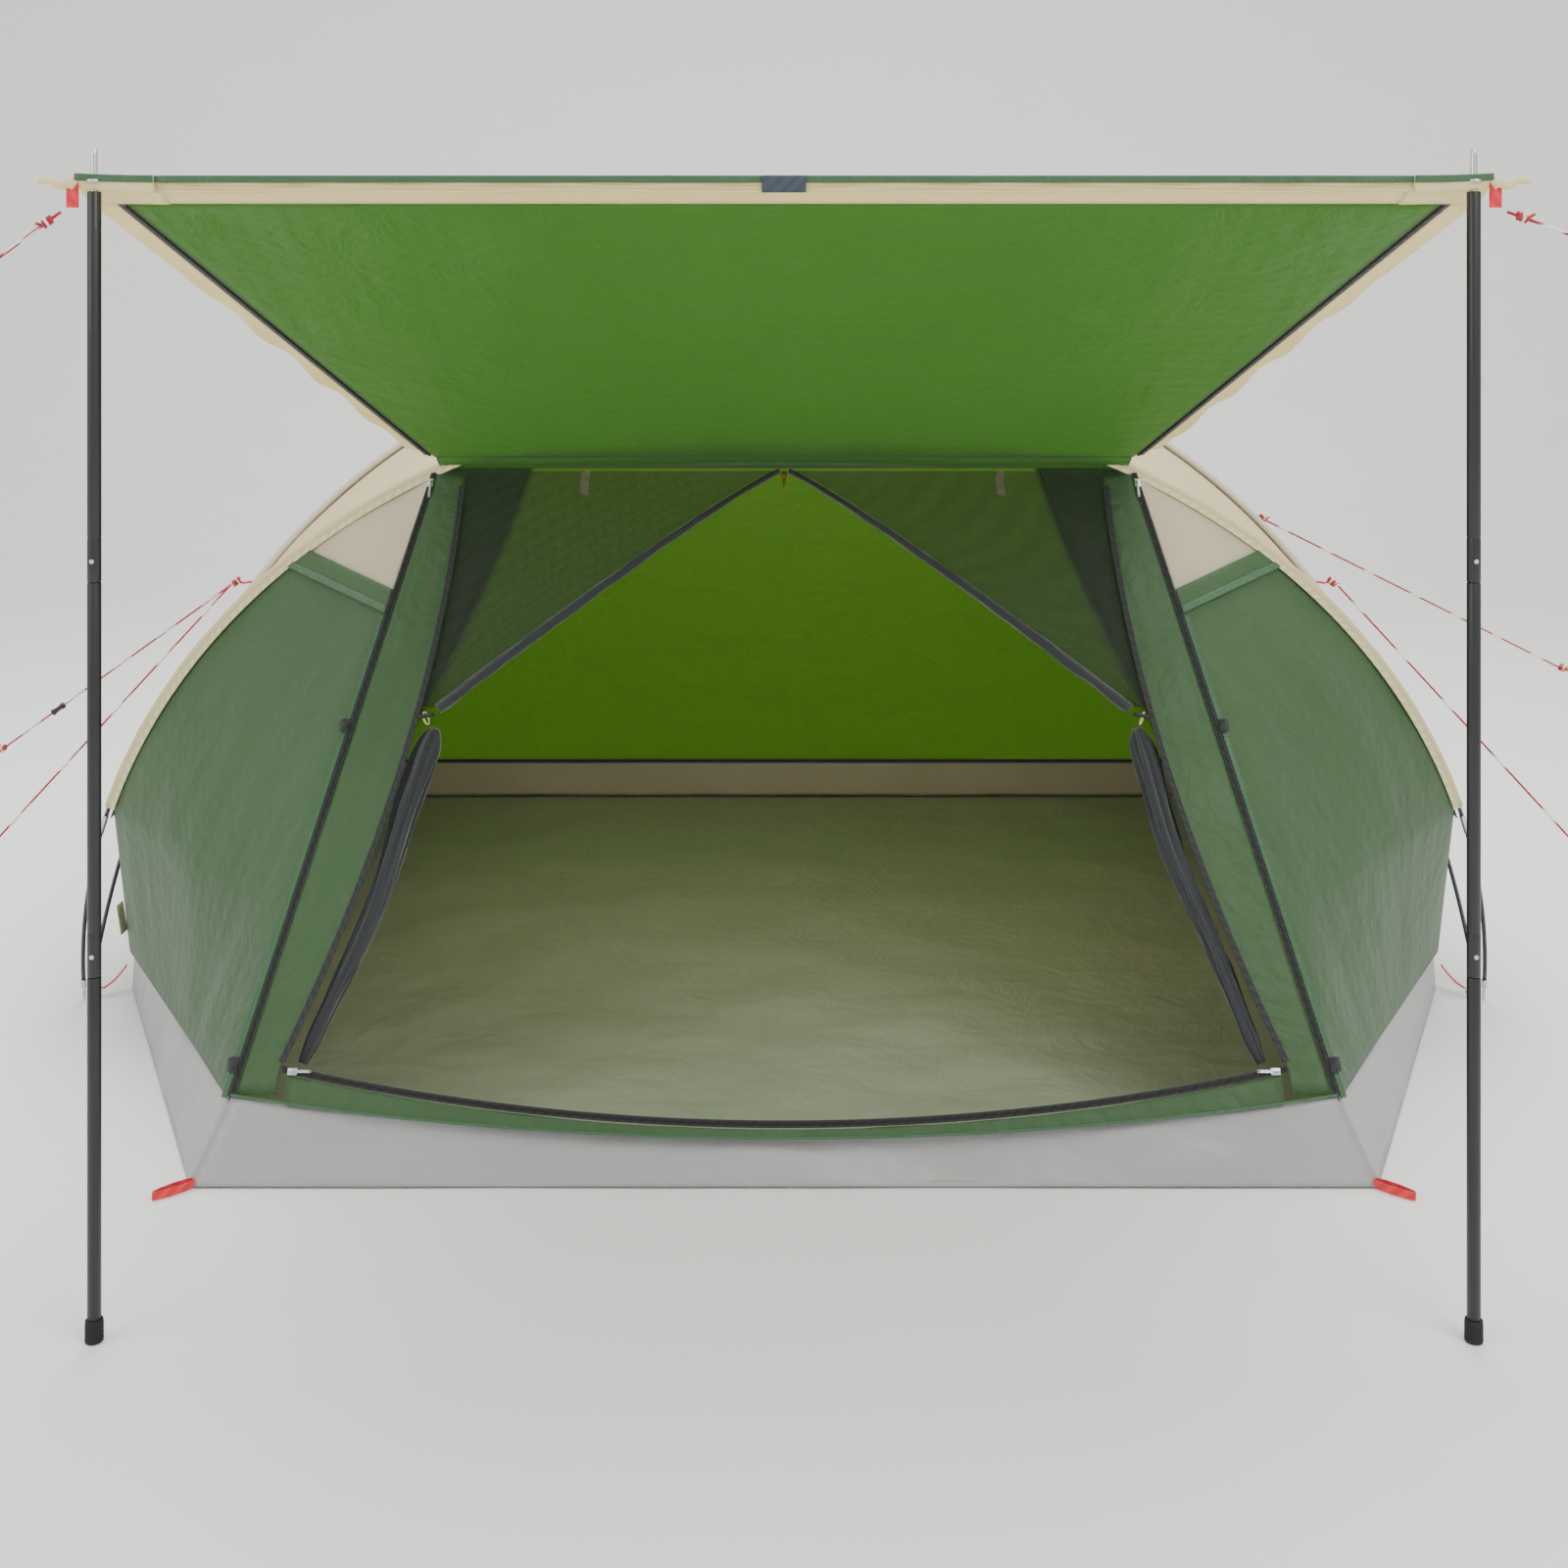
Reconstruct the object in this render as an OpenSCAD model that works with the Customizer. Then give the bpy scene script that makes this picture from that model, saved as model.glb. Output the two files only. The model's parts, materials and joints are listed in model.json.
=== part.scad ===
// Dome camping tent with its door panel raised on two poles as an awning.
// Ground is z = 0, the door faces -Y, and the origin lies midway between the feet of the hoops.

/* [Hoops] */
// Distance between the feet of the hoops
span = 2960; // [2400:10:3600]
// Length of the front hoop's plane from the ground to its top
front_rise = 1320; // [1100:5:1500]
// Forward lean of the front hoop in degrees
front_lean = 12; // [5:1:20]
// Length of the rear hoop's plane from the ground to its top
rear_rise = 1590; // [1350:5:1800]
// Backward lean of the rear hoop in degrees
rear_lean = 28; // [20:1:35]
// Diameter of the hoop poles
pole_d = 8.6; // [7:0.2:12]

/* [Floor] */
// Distance from the feet forward to the front edge of the floor
floor_front = 835; // [700:5:950]
// Distance from the feet back to the rear edge of the floor
floor_back = 1600; // [1300:10:1800]
// Width of the floor along its front edge
front_w = 1960; // [1700:10:2150]
// Width of the floor along its rear edge
back_w = 2400; // [2000:10:2600]
// Height of the waterproof wall at the corners
tub_h = 130; // [80:5:180]

/* [Door] */
// Height of the seam that the awning hangs from
hinge_z = 1142; // [1000:2:1200]
// Height of the cream strip's lower ends
strip_end = 430; // [350:5:500]
// Width of the opening at its top
opening_w = 1264; // [1000:4:1320]

/* [Awning] */
// Length of the awning from the seam to its front edge
awning_len = 1136; // [950:2:1200]
// Upward slope of the awning in degrees
awning_slope = 24.4; // [10:0.2:35]
// Width of the awning along its front edge
awning_w = 1916; // [1600:4:2100]

/* [Support poles] */
// Diameter of the steel poles
steel_d = 19; // [16:1:25]
// Length of the spike above the tube
spike_h = 62; // [40:1:80]

/* [Hidden] */
$fn = 32;
fabric = 3;
gap = 1;
half = span / 2;
rear_power = 2.2;
foot_gap = 14;
sleeve_r = pole_d / 2 + 4.7;
inset = sleeve_r + 1;
tip_len = 45;
rope_r = 2.2;
front_half = front_w / 2;
back_half = back_w / 2;
side_x = half - 80;
side_y = 40;
side_seam = 90;
back_seam = 115;
lean_in = 0.42;
front_seam = tub_h - 58;
arch_rows = 28;
panel_rows = 10;

// Points along the two hoops, a in degrees from the right foot to the left foot
function power(value, exponent) = sign(value) * pow(abs(value), exponent);
function front_hoop(a, inward = 0) =
    let (rise = (front_rise - inward) * sin(a), foot = foot_gap * (1 - sin(a)))
    [(half - inward) * cos(a), -rise * sin(front_lean) - foot, rise * cos(front_lean)];
function rear_hoop(a, inward = 0) =
    let (rise = (rear_rise - inward) * power(sin(a), 2 / rear_power), foot = foot_gap * (1 - sin(a)))
    [(half - inward) * power(cos(a), 2 / rear_power), rise * sin(rear_lean) + foot,
     rise * cos(rear_lean)];
function front_angle(z) = asin(z / (front_rise * cos(front_lean)));
function rear_angle(z) = asin(pow(z / (rear_rise * cos(rear_lean)), rear_power / 2));

door_half = half * cos(front_angle(hinge_z));
hinge_y = -hinge_z * tan(front_lean);
zip_foot = front_half - tub_h * lean_in;
door_foot_y = -floor_front + tub_h * 0.35;
wall_half = half * 0.405;
sill_half = zip_foot - 75;
sill_z = tub_h + 35;
sill_sag = 76;
opening_flare = 2;

// The plane of the door: x across, z up, out is the distance in front of the plane
door_rise = hinge_z - tub_h;
door_depth = hinge_y - door_foot_y;
door_slant = norm([door_rise, door_depth]);
door_out = [0, -door_rise / door_slant, door_depth / door_slant];
function door_point(x, z, out = 0) =
    [x, hinge_y - (hinge_z - z) * door_depth / door_rise, z] + out * door_out;
function zip_x(z) = door_half + (zip_foot - door_half) * (hinge_z - z) / door_rise;
function opening_x(z) = opening_w / 2
    + (sill_half - opening_w / 2) * pow((hinge_z - z) / (hinge_z - sill_z), opening_flare);
function sill_height(x) = sill_z - sill_sag * (1 - pow(x / sill_half, 2));
function seam_height(x) = tub_h - (tub_h - front_seam) * (1 - pow(x / zip_foot, 2));

// The plane of the raised awning: u across, v from the seam to the front edge, w above the plane
function awning_point(u, v, w = 0) =
    [u, hinge_y - v * cos(awning_slope) + w * sin(awning_slope),
     hinge_z + v * sin(awning_slope) + w * cos(awning_slope)];
awning_start = 32;
awning_lift = 13;
hem_depth = 66;
awning_body = awning_len - hem_depth;
function awning_edge(v) = door_half - 8 + (awning_w / 2 - door_half + 8) * v / awning_len;
corner_half = awning_edge(awning_len) - 78;
band_w = 14;
flap_w = 40;

steel_x = awning_edge(awning_len) + 7;
steel_y = awning_point(0, awning_len, awning_lift)[1];
steel_top = awning_point(0, awning_len, 0)[2] - 3;
steel_r = steel_d / 2;
steel_wall = 1.2;
joint_low = steel_top * 0.317;
joint_high = steel_top * 0.66;

// Shapes shared by the parts
function mix(from, to, t) = from + (to - from) * t;
function unit(v) = v / norm(v);
function step_down(i, last, from = 0, to = 1) = from + (to - from) * i / last;

module flip(side) {
    mirror([side < 0 ? 1 : 0, 0, 0]) children();
}

// A closed sheet whose outer face runs through the rows of points in grid
module sheet(grid, thick = fabric) {
    rows = len(grid);
    cols = len(grid[0]);
    size = rows * cols;
    function along(i, j) = grid[min(i + 1, rows - 1)][j] - grid[max(i - 1, 0)][j];
    function across(i, j) = grid[i][min(j + 1, cols - 1)] - grid[i][max(j - 1, 0)];
    outer = [for (i = [0:rows - 1], j = [0:cols - 1]) grid[i][j]];
    inner = [for (i = [0:rows - 1], j = [0:cols - 1])
        grid[i][j] - thick * unit(cross(along(i, j), across(i, j)))];
    faces = [
        for (i = [0:rows - 2], j = [0:cols - 2])
            let (a = i * cols + j, b = a + 1, c = a + cols, d = c + 1)
            each [[a, b, c], [b, d, c], [a + size, c + size, b + size], [b + size, c + size, d + size]],
        for (j = [0:cols - 2], low = [j, (rows - 1) * cols + j])
            let (a = low, b = low + 1, first = low == j)
            each first ? [[a, a + size, b], [b, a + size, b + size]]
                : [[a, b, a + size], [b, b + size, a + size]],
        for (i = [0:rows - 2], low = [i * cols, i * cols + cols - 1])
            let (a = low, c = low + cols, first = low == i * cols)
            each first ? [[a, c, a + size], [c, c + size, a + size]]
                : [[a, a + size, c], [c, a + size, c + size]]
    ];
    polyhedron(concat(outer, inner), faces);
}

// A round rod swept along a path; radius is one value, or one for each point of the path
module rod(path, radius, sides = 8, reference = [0, 1, 0]) {
    last = len(path) - 1;
    rings = [for (i = [0:last])
        let (ahead = unit(path[min(i + 1, last)] - path[max(i - 1, 0)]),
             right = unit(cross(ahead, reference)), up = cross(right, ahead))
        for (k = [0:sides - 1])
            path[i] + (is_list(radius) ? radius[i] : radius)
                * (right * cos(k * 360 / sides) + up * sin(k * 360 / sides))];
    skin = [for (i = [0:last - 1], k = [0:sides - 1])
        let (a = i * sides + k, b = i * sides + (k + 1) % sides)
        each [[a, b, b + sides], [a, b + sides, a + sides]]];
    ends = [[for (k = [sides - 1:-1:0]) k], [for (k = [0:sides - 1]) last * sides + k]];
    polyhedron(rings, concat(skin, ends));
}

// A cone or cylinder from one point to another
module bar(from, to, r1, r2) {
    line = to - from;
    translate(from)
        rotate([0, acos(line[2] / norm(line)), atan2(line[1], line[0])])
            cylinder(h = norm(line), r1 = r1, r2 = r2);
}

module pair() {
    children();
    flip(-1)
        children();
}

module ring(radius, thick) {
    rotate_extrude()
        translate([radius, 0])
            circle(r = thick, $fn = 16);
}

// Floor and waterproof wall
seam_front = [zip_foot, door_foot_y, tub_h];
seam_side = [side_x - 6, side_y, side_seam];
seam_rear = [back_half - 12, floor_back - 12, back_seam];
floor_z = fabric + 1.5;

module groundsheet() {
    corners = [[front_half, -floor_front], [side_x, side_y], [back_half, floor_back]];
    color("dimgray")
        linear_extrude(fabric)
            polygon(concat(corners, [for (i = [2:-1:0]) [-corners[i][0], corners[i][1]]]));
}

module tub_front() {
    cols = [for (i = [-8:8]) i / 8];
    sheet([
        [for (s = cols) door_point(s * zip_foot, seam_height(s * zip_foot))],
        [for (s = cols) [s * front_half, -floor_front, floor_z]]
    ]);
}

module tub_back() {
    sheet([
        [for (s = [1:-0.25:-1]) [s * seam_rear[0], seam_rear[1], back_seam]],
        [for (s = [1:-0.25:-1]) [s * back_half, floor_back, floor_z]]
    ]);
}

module tub_side() {
    top = [seam_front + [gap, 0, 0], seam_side, seam_rear];
    low = [[front_half, -floor_front, floor_z], [side_x, side_y, floor_z], [back_half, floor_back, floor_z]];
    sheet([for (line = [top, low])
        [for (k = [0:8]) k < 4 ? mix(line[0], line[1], k / 4) : mix(line[1], line[2], (k - 4) / 4)]]);
}

module tub_wall() {
    color("silver") {
        tub_front();
        tub_back();
        pair()
            tub_side();
    }
}

// Canopy between the hoops, the door and the floor
function gore_inner(t) = let (z = mix(hinge_z, tub_h, t)) door_point(zip_x(z) + 8, z);
function gore_outer(t) = t < 0.75
    ? front_hoop(mix(front_angle(hinge_z), front_angle(strip_end), t / 0.75), inset)
    : mix(front_hoop(front_angle(strip_end), inset), seam_side - [0, 28, 0], (t - 0.75) * 4);
function gore(t, s, lift = 0) = mix(gore_inner(t), gore_outer(t), s) + lift * door_out;
vent_end = 0.25;

module front_gore(side) {
    color("forestgreen")
        flip(side)
            sheet([for (i = [0:panel_rows])
                [for (s = [0:0.2:1]) gore(step_down(i, panel_rows, vent_end + 0.002, 0.996), s)]]);
}

module vent() {
    sheet([for (i = [0:4]) [for (s = [0:0.25:1]) gore(step_down(i, 4, 0.03, vent_end), s)]]);
}

module vent_flap() {
    sheet([for (t = [vent_end - 0.015, vent_end + 0.02])
        [for (s = [0.04:0.184:0.96]) gore(t, s, 6 + 40 * (t - vent_end))]], 2);
}

module vents() {
    color("gray")
        pair() {
            vent();
            vent_flap();
        }
}

function wall_edge(t) = let (
    top = rear_hoop(acos(pow(wall_half / half, rear_power / 2)), inset),
    upper = top + [20, 202, -263],
    lower = seam_rear + [-188, -258, 265])
    pow(1 - t, 3) * top + 3 * t * pow(1 - t, 2) * upper + 3 * t * t * (1 - t) * lower
    + pow(t, 3) * (seam_rear + [0, 0, 4]);

module rear_wall() {
    top_edge = wall_edge(0);
    crown = rear_hoop(90, inset) - top_edge;
    color("limegreen")
        sheet([for (i = [0:panel_rows]) let (t = i / panel_rows, edge = wall_edge(t))
            [for (s = [1:-0.25:-1])
                [(s * (edge[0] - gap)), edge[1] + (1 - s * s) * (1 - t) * (1 - t) * crown[1],
                 edge[2] + (1 - s * s) * (1 - t) * (1 - t) * crown[2]]]]);
}

function rear_outer(t) = let (start = acos(pow(wall_half / half, rear_power / 2))) t < 0.75
    ? rear_hoop(mix(start, rear_angle(strip_end), t / 0.75), inset)
    : mix(rear_hoop(rear_angle(strip_end), inset), seam_side + [0, 28, 0], (t - 0.75) * 4);

module rear_gore(side) {
    color("green")
        flip(side)
            sheet([for (i = [0:panel_rows]) let (t = step_down(i, panel_rows, 0.04, 0.996))
                [for (s = [0:0.2:1]) mix(rear_outer(t), wall_edge(t) + [5, 0, 0], s)]]);
}

module side_panel() {
    front = front_hoop(front_angle(strip_end - 24), inset) + [0, 3, 0];
    rear = rear_hoop(rear_angle(strip_end - 24), inset) - [0, 3, 0];
    color("green")
        sheet([for (t = [0:0.25:1]) [for (s = [0:0.25:1])
            mix(mix(front, seam_side + [0, -24, 4], t), mix(rear, seam_side + [0, 24, 4], t), s)]]);
}

module front_header() {
    first = front_angle(hinge_z) + 4;
    color("seagreen")
        sheet([for (t = [0:0.25:1]) [for (i = [0:12])
            let (arc = front_hoop(180 - step_down(i, 12, first, 180 - first), inset + 2),
                 base = [arc[0], hinge_y - 3, hinge_z + 3])
            mix(arc, base, t)]]);
}

roof_sag = 10;

module roof_strip() {
    front_low = front_angle(strip_end + 3);
    rear_low = rear_angle(strip_end + 3);
    color("beige")
        sheet([for (i = [0:arch_rows])
            let (f = front_hoop(mix(front_low, 180 - front_low, i / arch_rows), inset),
                 r = rear_hoop(mix(rear_low, 180 - rear_low, i / arch_rows), inset))
            [for (s = [0.985, 0.75, 0.5, 0.25, 0.015])
                mix(f, r, s) - [0, 0, roof_sag * 4 * s * (1 - s) * sin(180 * i / arch_rows)]]]);
}

module strip_hem() {
    color("darkgreen")
        sheet([for (z = [strip_end, strip_end - 20])
            let (f = front_hoop(front_angle(z), inset), r = rear_hoop(rear_angle(z), inset))
            [for (s = [0.02:0.24:0.98]) mix(f, r, s)]]);
}

// Door
module door_border(side) {
    color("green")
        flip(side)
            sheet([for (i = [0:12]) let (z = step_down(i, 12, hinge_z - 6, tub_h + 4))
                [for (s = [0, 0.5, 1])
                    door_point(mix(min(opening_x(z), sill_half), zip_x(z) - 8, s), z, fabric)]]);
}

module door_sill() {
    cols = [for (i = [-8:8]) i / 8 * (sill_half - 20)];
    color("green")
        sheet([
            [for (x = cols) door_point(x, sill_height(x) - 2, fabric)],
            [for (x = cols) door_point(x, seam_height(x) + 3, fabric)]
        ]);
}

module door_zip() {
    color("black")
        sheet([for (i = [0:8]) let (z = step_down(i, 8, hinge_z - 18, tub_h + 4))
            [for (x = [-6, 6]) door_point(zip_x(z) + x, z, fabric)]]);
}

module sill_zip() {
    cols = [for (i = [-8:8]) i / 8 * (sill_half - 20)];
    color("black")
        sheet([for (lift = [10, -gap])
            [for (x = cols) door_point(x, sill_height(x) + lift, fabric)]]);
}

tab_heights = [685, 175];

module zip_tab() {
    color("black")
        for (z = tab_heights)
            sheet([for (drop = [12, -12]) [for (x = [8, 22])
                door_point(zip_x(z + drop) + x, z + drop, 9)]]);
}

module door_zips() {
    sill_zip();
    pair() {
        door_zip();
        zip_tab();
    }
}

module door_slider(side) {
    top = door_point(zip_x(hinge_z - 30), hinge_z - 30, fabric + 0.4);
    color("gray")
        flip(side)
            translate(top)
                rotate([90 - atan2(door_depth, door_rise), 0, 0])
                    union() {
                        translate([-6, -9, 0])
                            cube([12, 18, 3]);
                        translate([-3, -34, 0.5])
                            cube([6, 26, 1.6]);
                    }
}

module sill_slider(side) {
    x = sill_half - 24;
    color("silver")
        flip(side)
            translate(door_point(x, sill_height(x) + 4, fabric + 0.4))
                rotate([90 - atan2(door_depth, door_rise), 0, 0])
                    union() {
                        translate([-9, -6, 0])
                            cube([18, 12, 4]);
                        translate([-32, -2, 1])
                            cube([24, 5, 2]);
                    }
}

toggle_z = 700;
mesh_top = hinge_z - 5;
function band_x(z) = 10 + (opening_x(toggle_z) - 26) * pow((mesh_top - z) / (mesh_top - toggle_z), 0.9);

module mesh_door(side) {
    color([0.2, 0.2, 0.2, 0.5])
        flip(side)
            sheet([for (i = [0:8]) let (z = step_down(i, 8, mesh_top, toggle_z + 17))
                [for (s = [0, 0.5, 1])
                    door_point(mix(band_x(z) + net_start, opening_x(z) - 2, s), z, -1)]], 2);
}

// The rolled edge of the net grows from band_thin at the top to band_thick at the toggle
band_thin = 5;
band_thick = 9.5;
net_start = band_thick * 2;

module mesh_band() {
    color("black")
        rod([for (i = [0:8]) let (z = step_down(i, 8, mesh_top, toggle_z + 14))
            door_point(band_x(z), z, -3)],
            [for (i = [0:8]) mix(band_thin, band_thick, i / 8)], 8, [0, 1, 0.3]);
}

roll_in = 27;
roll_back = 26;

module mesh_gather() {
    heights = [for (k = [0:6]) step_down(k, 6, toggle_z - 24, sill_z + 14)];
    color("black")
        rod([for (z = heights) door_point(opening_x(z) - roll_in, z, -roll_back)],
            [for (k = [0:6]) 22 - 2 * k], 12, [1, 0, 0]);
}

module mesh_roll() {
    mesh_band();
    mesh_gather();
}

module mesh_slider() {
    color("gold")
        translate(door_point(0, mesh_top - 9, -2))
            rotate([90 - atan2(door_depth, door_rise), 0, 0])
                union() {
                    translate([-5, -7, 0])
                        cube([10, 14, 4]);
                    translate([-2.5, -30, 1])
                        cube([5, 24, 1.5]);
                }
}

module toggle() {
    color("black")
        translate(door_point(opening_x(toggle_z) - 16, toggle_z, 9))
            rotate([0, 90, 12])
                cylinder(h = 34, r = 4, center = true);
}

module toggle_loop() {
    color("beige")
        translate(door_point(opening_x(toggle_z) - 13, toggle_z, -9))
            rotate([0, 90, 0])
                ring(11, 1.8);
}

tie_x = [-395, 428];

module tie_loop(x) {
    color("beige")
        sheet([for (z = [hinge_z - 4, hinge_z - 48]) [for (s = [-9, 9]) door_point(x + s, z, -7)]], 2);
}

module toggles() {
    pair() {
        toggle();
        toggle_loop();
    }
    for (x = tie_x)
        tie_loop(x);
}

// Hoops
leg_top = 372;
ferrule_top = 412;
hoop_rows = 36;
function hoop_point(rear, a) = rear ? rear_hoop(a) : front_hoop(a);
function hoop_angle(rear, z) = rear ? rear_angle(z) : front_angle(z);
function hoop_path(rear, z) = let (a = hoop_angle(rear, z))
    [for (i = [0:hoop_rows]) hoop_point(rear, mix(a, 180 - a, i / hoop_rows))];
function leg_path(rear, from, to, count) = [for (i = [0:count])
    hoop_point(rear, hoop_angle(rear, mix(from, to, i / count)))];
function lean_axis(rear) = rear
    ? [0, cos(rear_lean), -sin(rear_lean)]
    : [0, cos(front_lean), sin(front_lean)];

module hoop(rear) {
    color("dimgray")
        rod(hoop_path(rear, ferrule_top), pole_d / 2, 8, lean_axis(rear));
}

module sleeve(rear) {
    color(rear ? "gray" : "beige")
        difference() {
            rod(hoop_path(rear, strip_end + 2), sleeve_r, 10, lean_axis(rear));
            rod(hoop_path(rear, strip_end - 8), pole_d / 2 + 0.4, 8, lean_axis(rear));
        }
}

module hoop_legs() {
    color("dimgray")
        for (rear = [false, true])
            rod(leg_path(rear, tip_len, leg_top, 6), pole_d / 2, 8, lean_axis(rear));
}

module ferrule(rear) {
    rod(leg_path(rear, leg_top, ferrule_top, 2), pole_d / 2 + 1.4, 12, lean_axis(rear));
}

module hoop_tip(rear) {
    top = hoop_point(rear, hoop_angle(rear, tip_len));
    foot = hoop_point(rear, hoop_angle(rear, 2));
    bar(foot, mix(foot, top, 0.6), 3, 6.5);
    bar(mix(foot, top, 0.6), top, 6.5, 6.5);
}

foot_ring_x = half - 24;
module foot_strap() {
    start = [side_x + 5, side_y - 14, 58];
    end = [foot_ring_x - 10, 0, 17];
    color("red")
        sheet([for (t = [0:0.25:1]) [for (s = [-10, 10]) mix(start, end, t) + [0, s, 0]]], 2);
}

module foot_ring() {
    color("silver")
        translate([foot_ring_x + 1, 0, 15])
            ring(10, 2);
}

module hoop_tips() {
    color("silver") {
        for (rear = [false, true]) {
            ferrule(rear);
            hoop_tip(rear);
        }
        foot_ring();
    }
}

module corner_loop() {
    loop_y = -floor_front - 24;
    color("crimson")
        union() {
            translate([front_half + 30, loop_y, 3])
                ring(22, 2.6);
            translate([front_half + 2, loop_y + 8, 0])
                rotate([0, 0, -25])
                    cube([16, 16, 3]);
        }
}

module foot_straps() {
    foot_strap();
    corner_loop();
}

// Awning, in the plane that hangs from the door's top seam
module awning_panel() {
    color("forestgreen")
        sheet([for (i = [0:8]) let (v = step_down(i, 8, awning_start, awning_body))
            [for (s = [-1:0.5:1]) awning_point(s * (awning_edge(v) - gap), v, awning_lift)]]);
}

module awning_hem() {
    edge = awning_point(0, awning_len, awning_lift);
    color("beige")
        union() {
            sheet([for (v = [awning_body + gap, awning_len]) [for (s = [-1, 0, 1])
                awning_point(s * corner_half, v, awning_lift)]]);
            for (k = [0:2])
                translate([-corner_half, edge[1] - 1, edge[2] - 6 - 4.2 * k])
                    rotate([0, 90, 0])
                        cylinder(h = 2 * corner_half, r = 2.4, $fn = 12);
        }
}

module awning_trim() {
    edge = awning_point(0, awning_len, awning_lift);
    color("darkgreen")
        union() {
            translate([-corner_half, edge[1] - 5.6, edge[2] - 3])
                cube([2 * corner_half, 4, 10]);
            translate([-31, edge[1] - 8, edge[2] - 17])
                cube([62, 3, 24]);
        }
}

module zip_band() {
    color("black")
        sheet([for (i = [0:8]) let (v = step_down(i, 8, awning_start + 10, awning_body))
            [for (u = [0, band_w]) awning_point(awning_edge(v) + u, v, awning_lift)]]);
}

module storm_flap(side) {
    color("beige")
        flip(side)
            sheet([for (i = [0:12]) let (v = step_down(i, 12, awning_start + 40, awning_body))
                [for (s = [0, 0.5, 1])
                    awning_point(awning_edge(v) + band_w + gap + flap_w * s * mix(0.5, 1, v / awning_len),
                                 v, awning_lift + 3 * s)]], 2);
}

module band_tab() {
    color("black")
        sheet([for (v = [498, 523]) [for (u = [1, 13])
            awning_point(awning_edge(v) + u, v, awning_lift + 2.4)]], 2);
}

module zip_bands() {
    zip_band();
    band_tab();
}

// Corner of the awning, which folds with its support pole
corner_out = 36;
module awning_corner(side) {
    start = awning_body + 8;
    edge = awning_point(0, awning_len, awning_lift);
    inner = corner_half + 4;
    outer = awning_edge(awning_len) + corner_out;
    color("darkgreen")
        flip(side)
            difference() {
                union() {
                    sheet([for (v = [start, awning_len + 4]) [for (s = [0, 1])
                        awning_point(mix(inner, outer, s), v, awning_lift)]]);
                    translate([inner, edge[1] - 5, edge[2] - 3])
                        cube([outer - inner, 4, 10]);
                    translate([inner, edge[1] - 4, edge[2] - 18])
                        cube([outer - inner, 3, 18]);
                    bar([outer - 6, edge[1] - 8, edge[2] - 8], [outer + 46, edge[1] - 8, edge[2]], 7, 5);
                    translate([outer - 12, edge[1] - 7, edge[2] - 40])
                        cube([22, 2.4, 36]);
                }
                translate([steel_x, steel_y, edge[2] - 40])
                    cylinder(h = 80, r = 13);
            }
}

// Support poles: three plugged tubes, a spike and a rubber foot
module tube(from, to, spigot) {
    wall_r = steel_r - steel_wall;
    difference() {
        union() {
            translate([0, 0, from])
                cylinder(h = to - from, r = steel_r);
            if (spigot)
                translate([0, 0, from - 60])
                    cylinder(h = 61, r = wall_r - 0.1);
        }
        translate([0, 0, from - 61])
            cylinder(h = to - from + 62, r = wall_r - 1.2);
        if (!spigot)
            translate([0, 0, from - 1])
                cylinder(h = to - from + 2, r = wall_r);
        if (spigot)
            translate([0, 0, from + 12])
                cylinder(h = to - from, r = wall_r);
    }
}

module at_pole(side) {
    flip(side)
        translate([steel_x, steel_y, 0])
            children();
}

module pole_low(side) {
    color("dimgray")
        at_pole(side)
            tube(4, joint_low, false);
}

module pole_mid(side) {
    color("dimgray")
        at_pole(side)
            tube(joint_low + 0.4, joint_high, true);
}

module pole_high(side) {
    color("dimgray")
        at_pole(side)
            tube(joint_high + 0.4, steel_top, true);
}

module eyelet() {
    translate([0, 0, steel_top + 1])
        difference() {
            cylinder(h = 15, r = 12.8);
            translate([0, 0, -1])
                cylinder(h = 17, r = 5.2);
        }
}

module pole_spike(side) {
    plug_r = steel_r - steel_wall - 0.1;
    color("silver")
        at_pole(side)
            union() {
                translate([0, 0, steel_top - 30])
                    cylinder(h = 30, r = plug_r);
                translate([0, 0, steel_top - 1])
                    cylinder(h = spike_h - 7, r = 5);
                translate([0, 0, steel_top + spike_h - 8])
                    cylinder(h = 8, r1 = 5, r2 = 2);
                eyelet();
            }
}

module pole_foot(side) {
    color("black")
        at_pole(side)
            difference() {
                cylinder(h = 32, r1 = 13, r2 = 12);
                translate([0, 0, 4])
                    cylinder(h = 30, r = steel_r + 0.05);
            }
}

// Ropes, each swept along points chosen by hand
guy_z = 820;
guy_start = rear_hoop(rear_angle(guy_z));
knot = guy_start + [46, -6, 0];
knot_r = 11;
peg_foot = [1930, -50, 0];
peg_h = 62;
guy_left_end = [-1930, 594, 382];
guy_right_start = rear_hoop(rear_angle(960)) + [12, 12, 6];
guy_right_end = [2060, 905, 521];
loop_count = 8;
end_loop_r = 24;

function end_loop(p, ahead, radius) =
    let (side = unit(cross(ahead, [0, 0, 1])), mid = p + radius * unit(ahead))
    [for (k = [1:loop_count]) let (t = 360 * k / loop_count)
        mid + radius * (-cos(t) * unit(ahead) + sin(t) * side) + [0, 0, 0.8 * rope_r * k]];
function taut(from, to) = concat(
    [for (t = [0:0.125:0.875]) mix(from, to, t)], [to],
    end_loop(to, unit(to - from), end_loop_r));

module rope(points, colour) {
    color(colour)
        rod(points, rope_r, 8, [0.2, 0.9, 0.4]);
}

module guy_front(side) {
    flip(side)
        rope([for (t = [0:0.125:1]) mix(knot + [knot_r + 3, -8, -9], peg_foot + [-7, 3, peg_h - 10], t)],
             "red");
}

module guy_rear(side) {
    if (side < 0)
        rope(taut([-knot[0] - knot_r - 4, knot[1] + 5, knot[2] - 8], guy_left_end), "crimson");
    else
        rope(taut(guy_right_start + [10, 6, -8], guy_right_end), "crimson");
}

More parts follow.
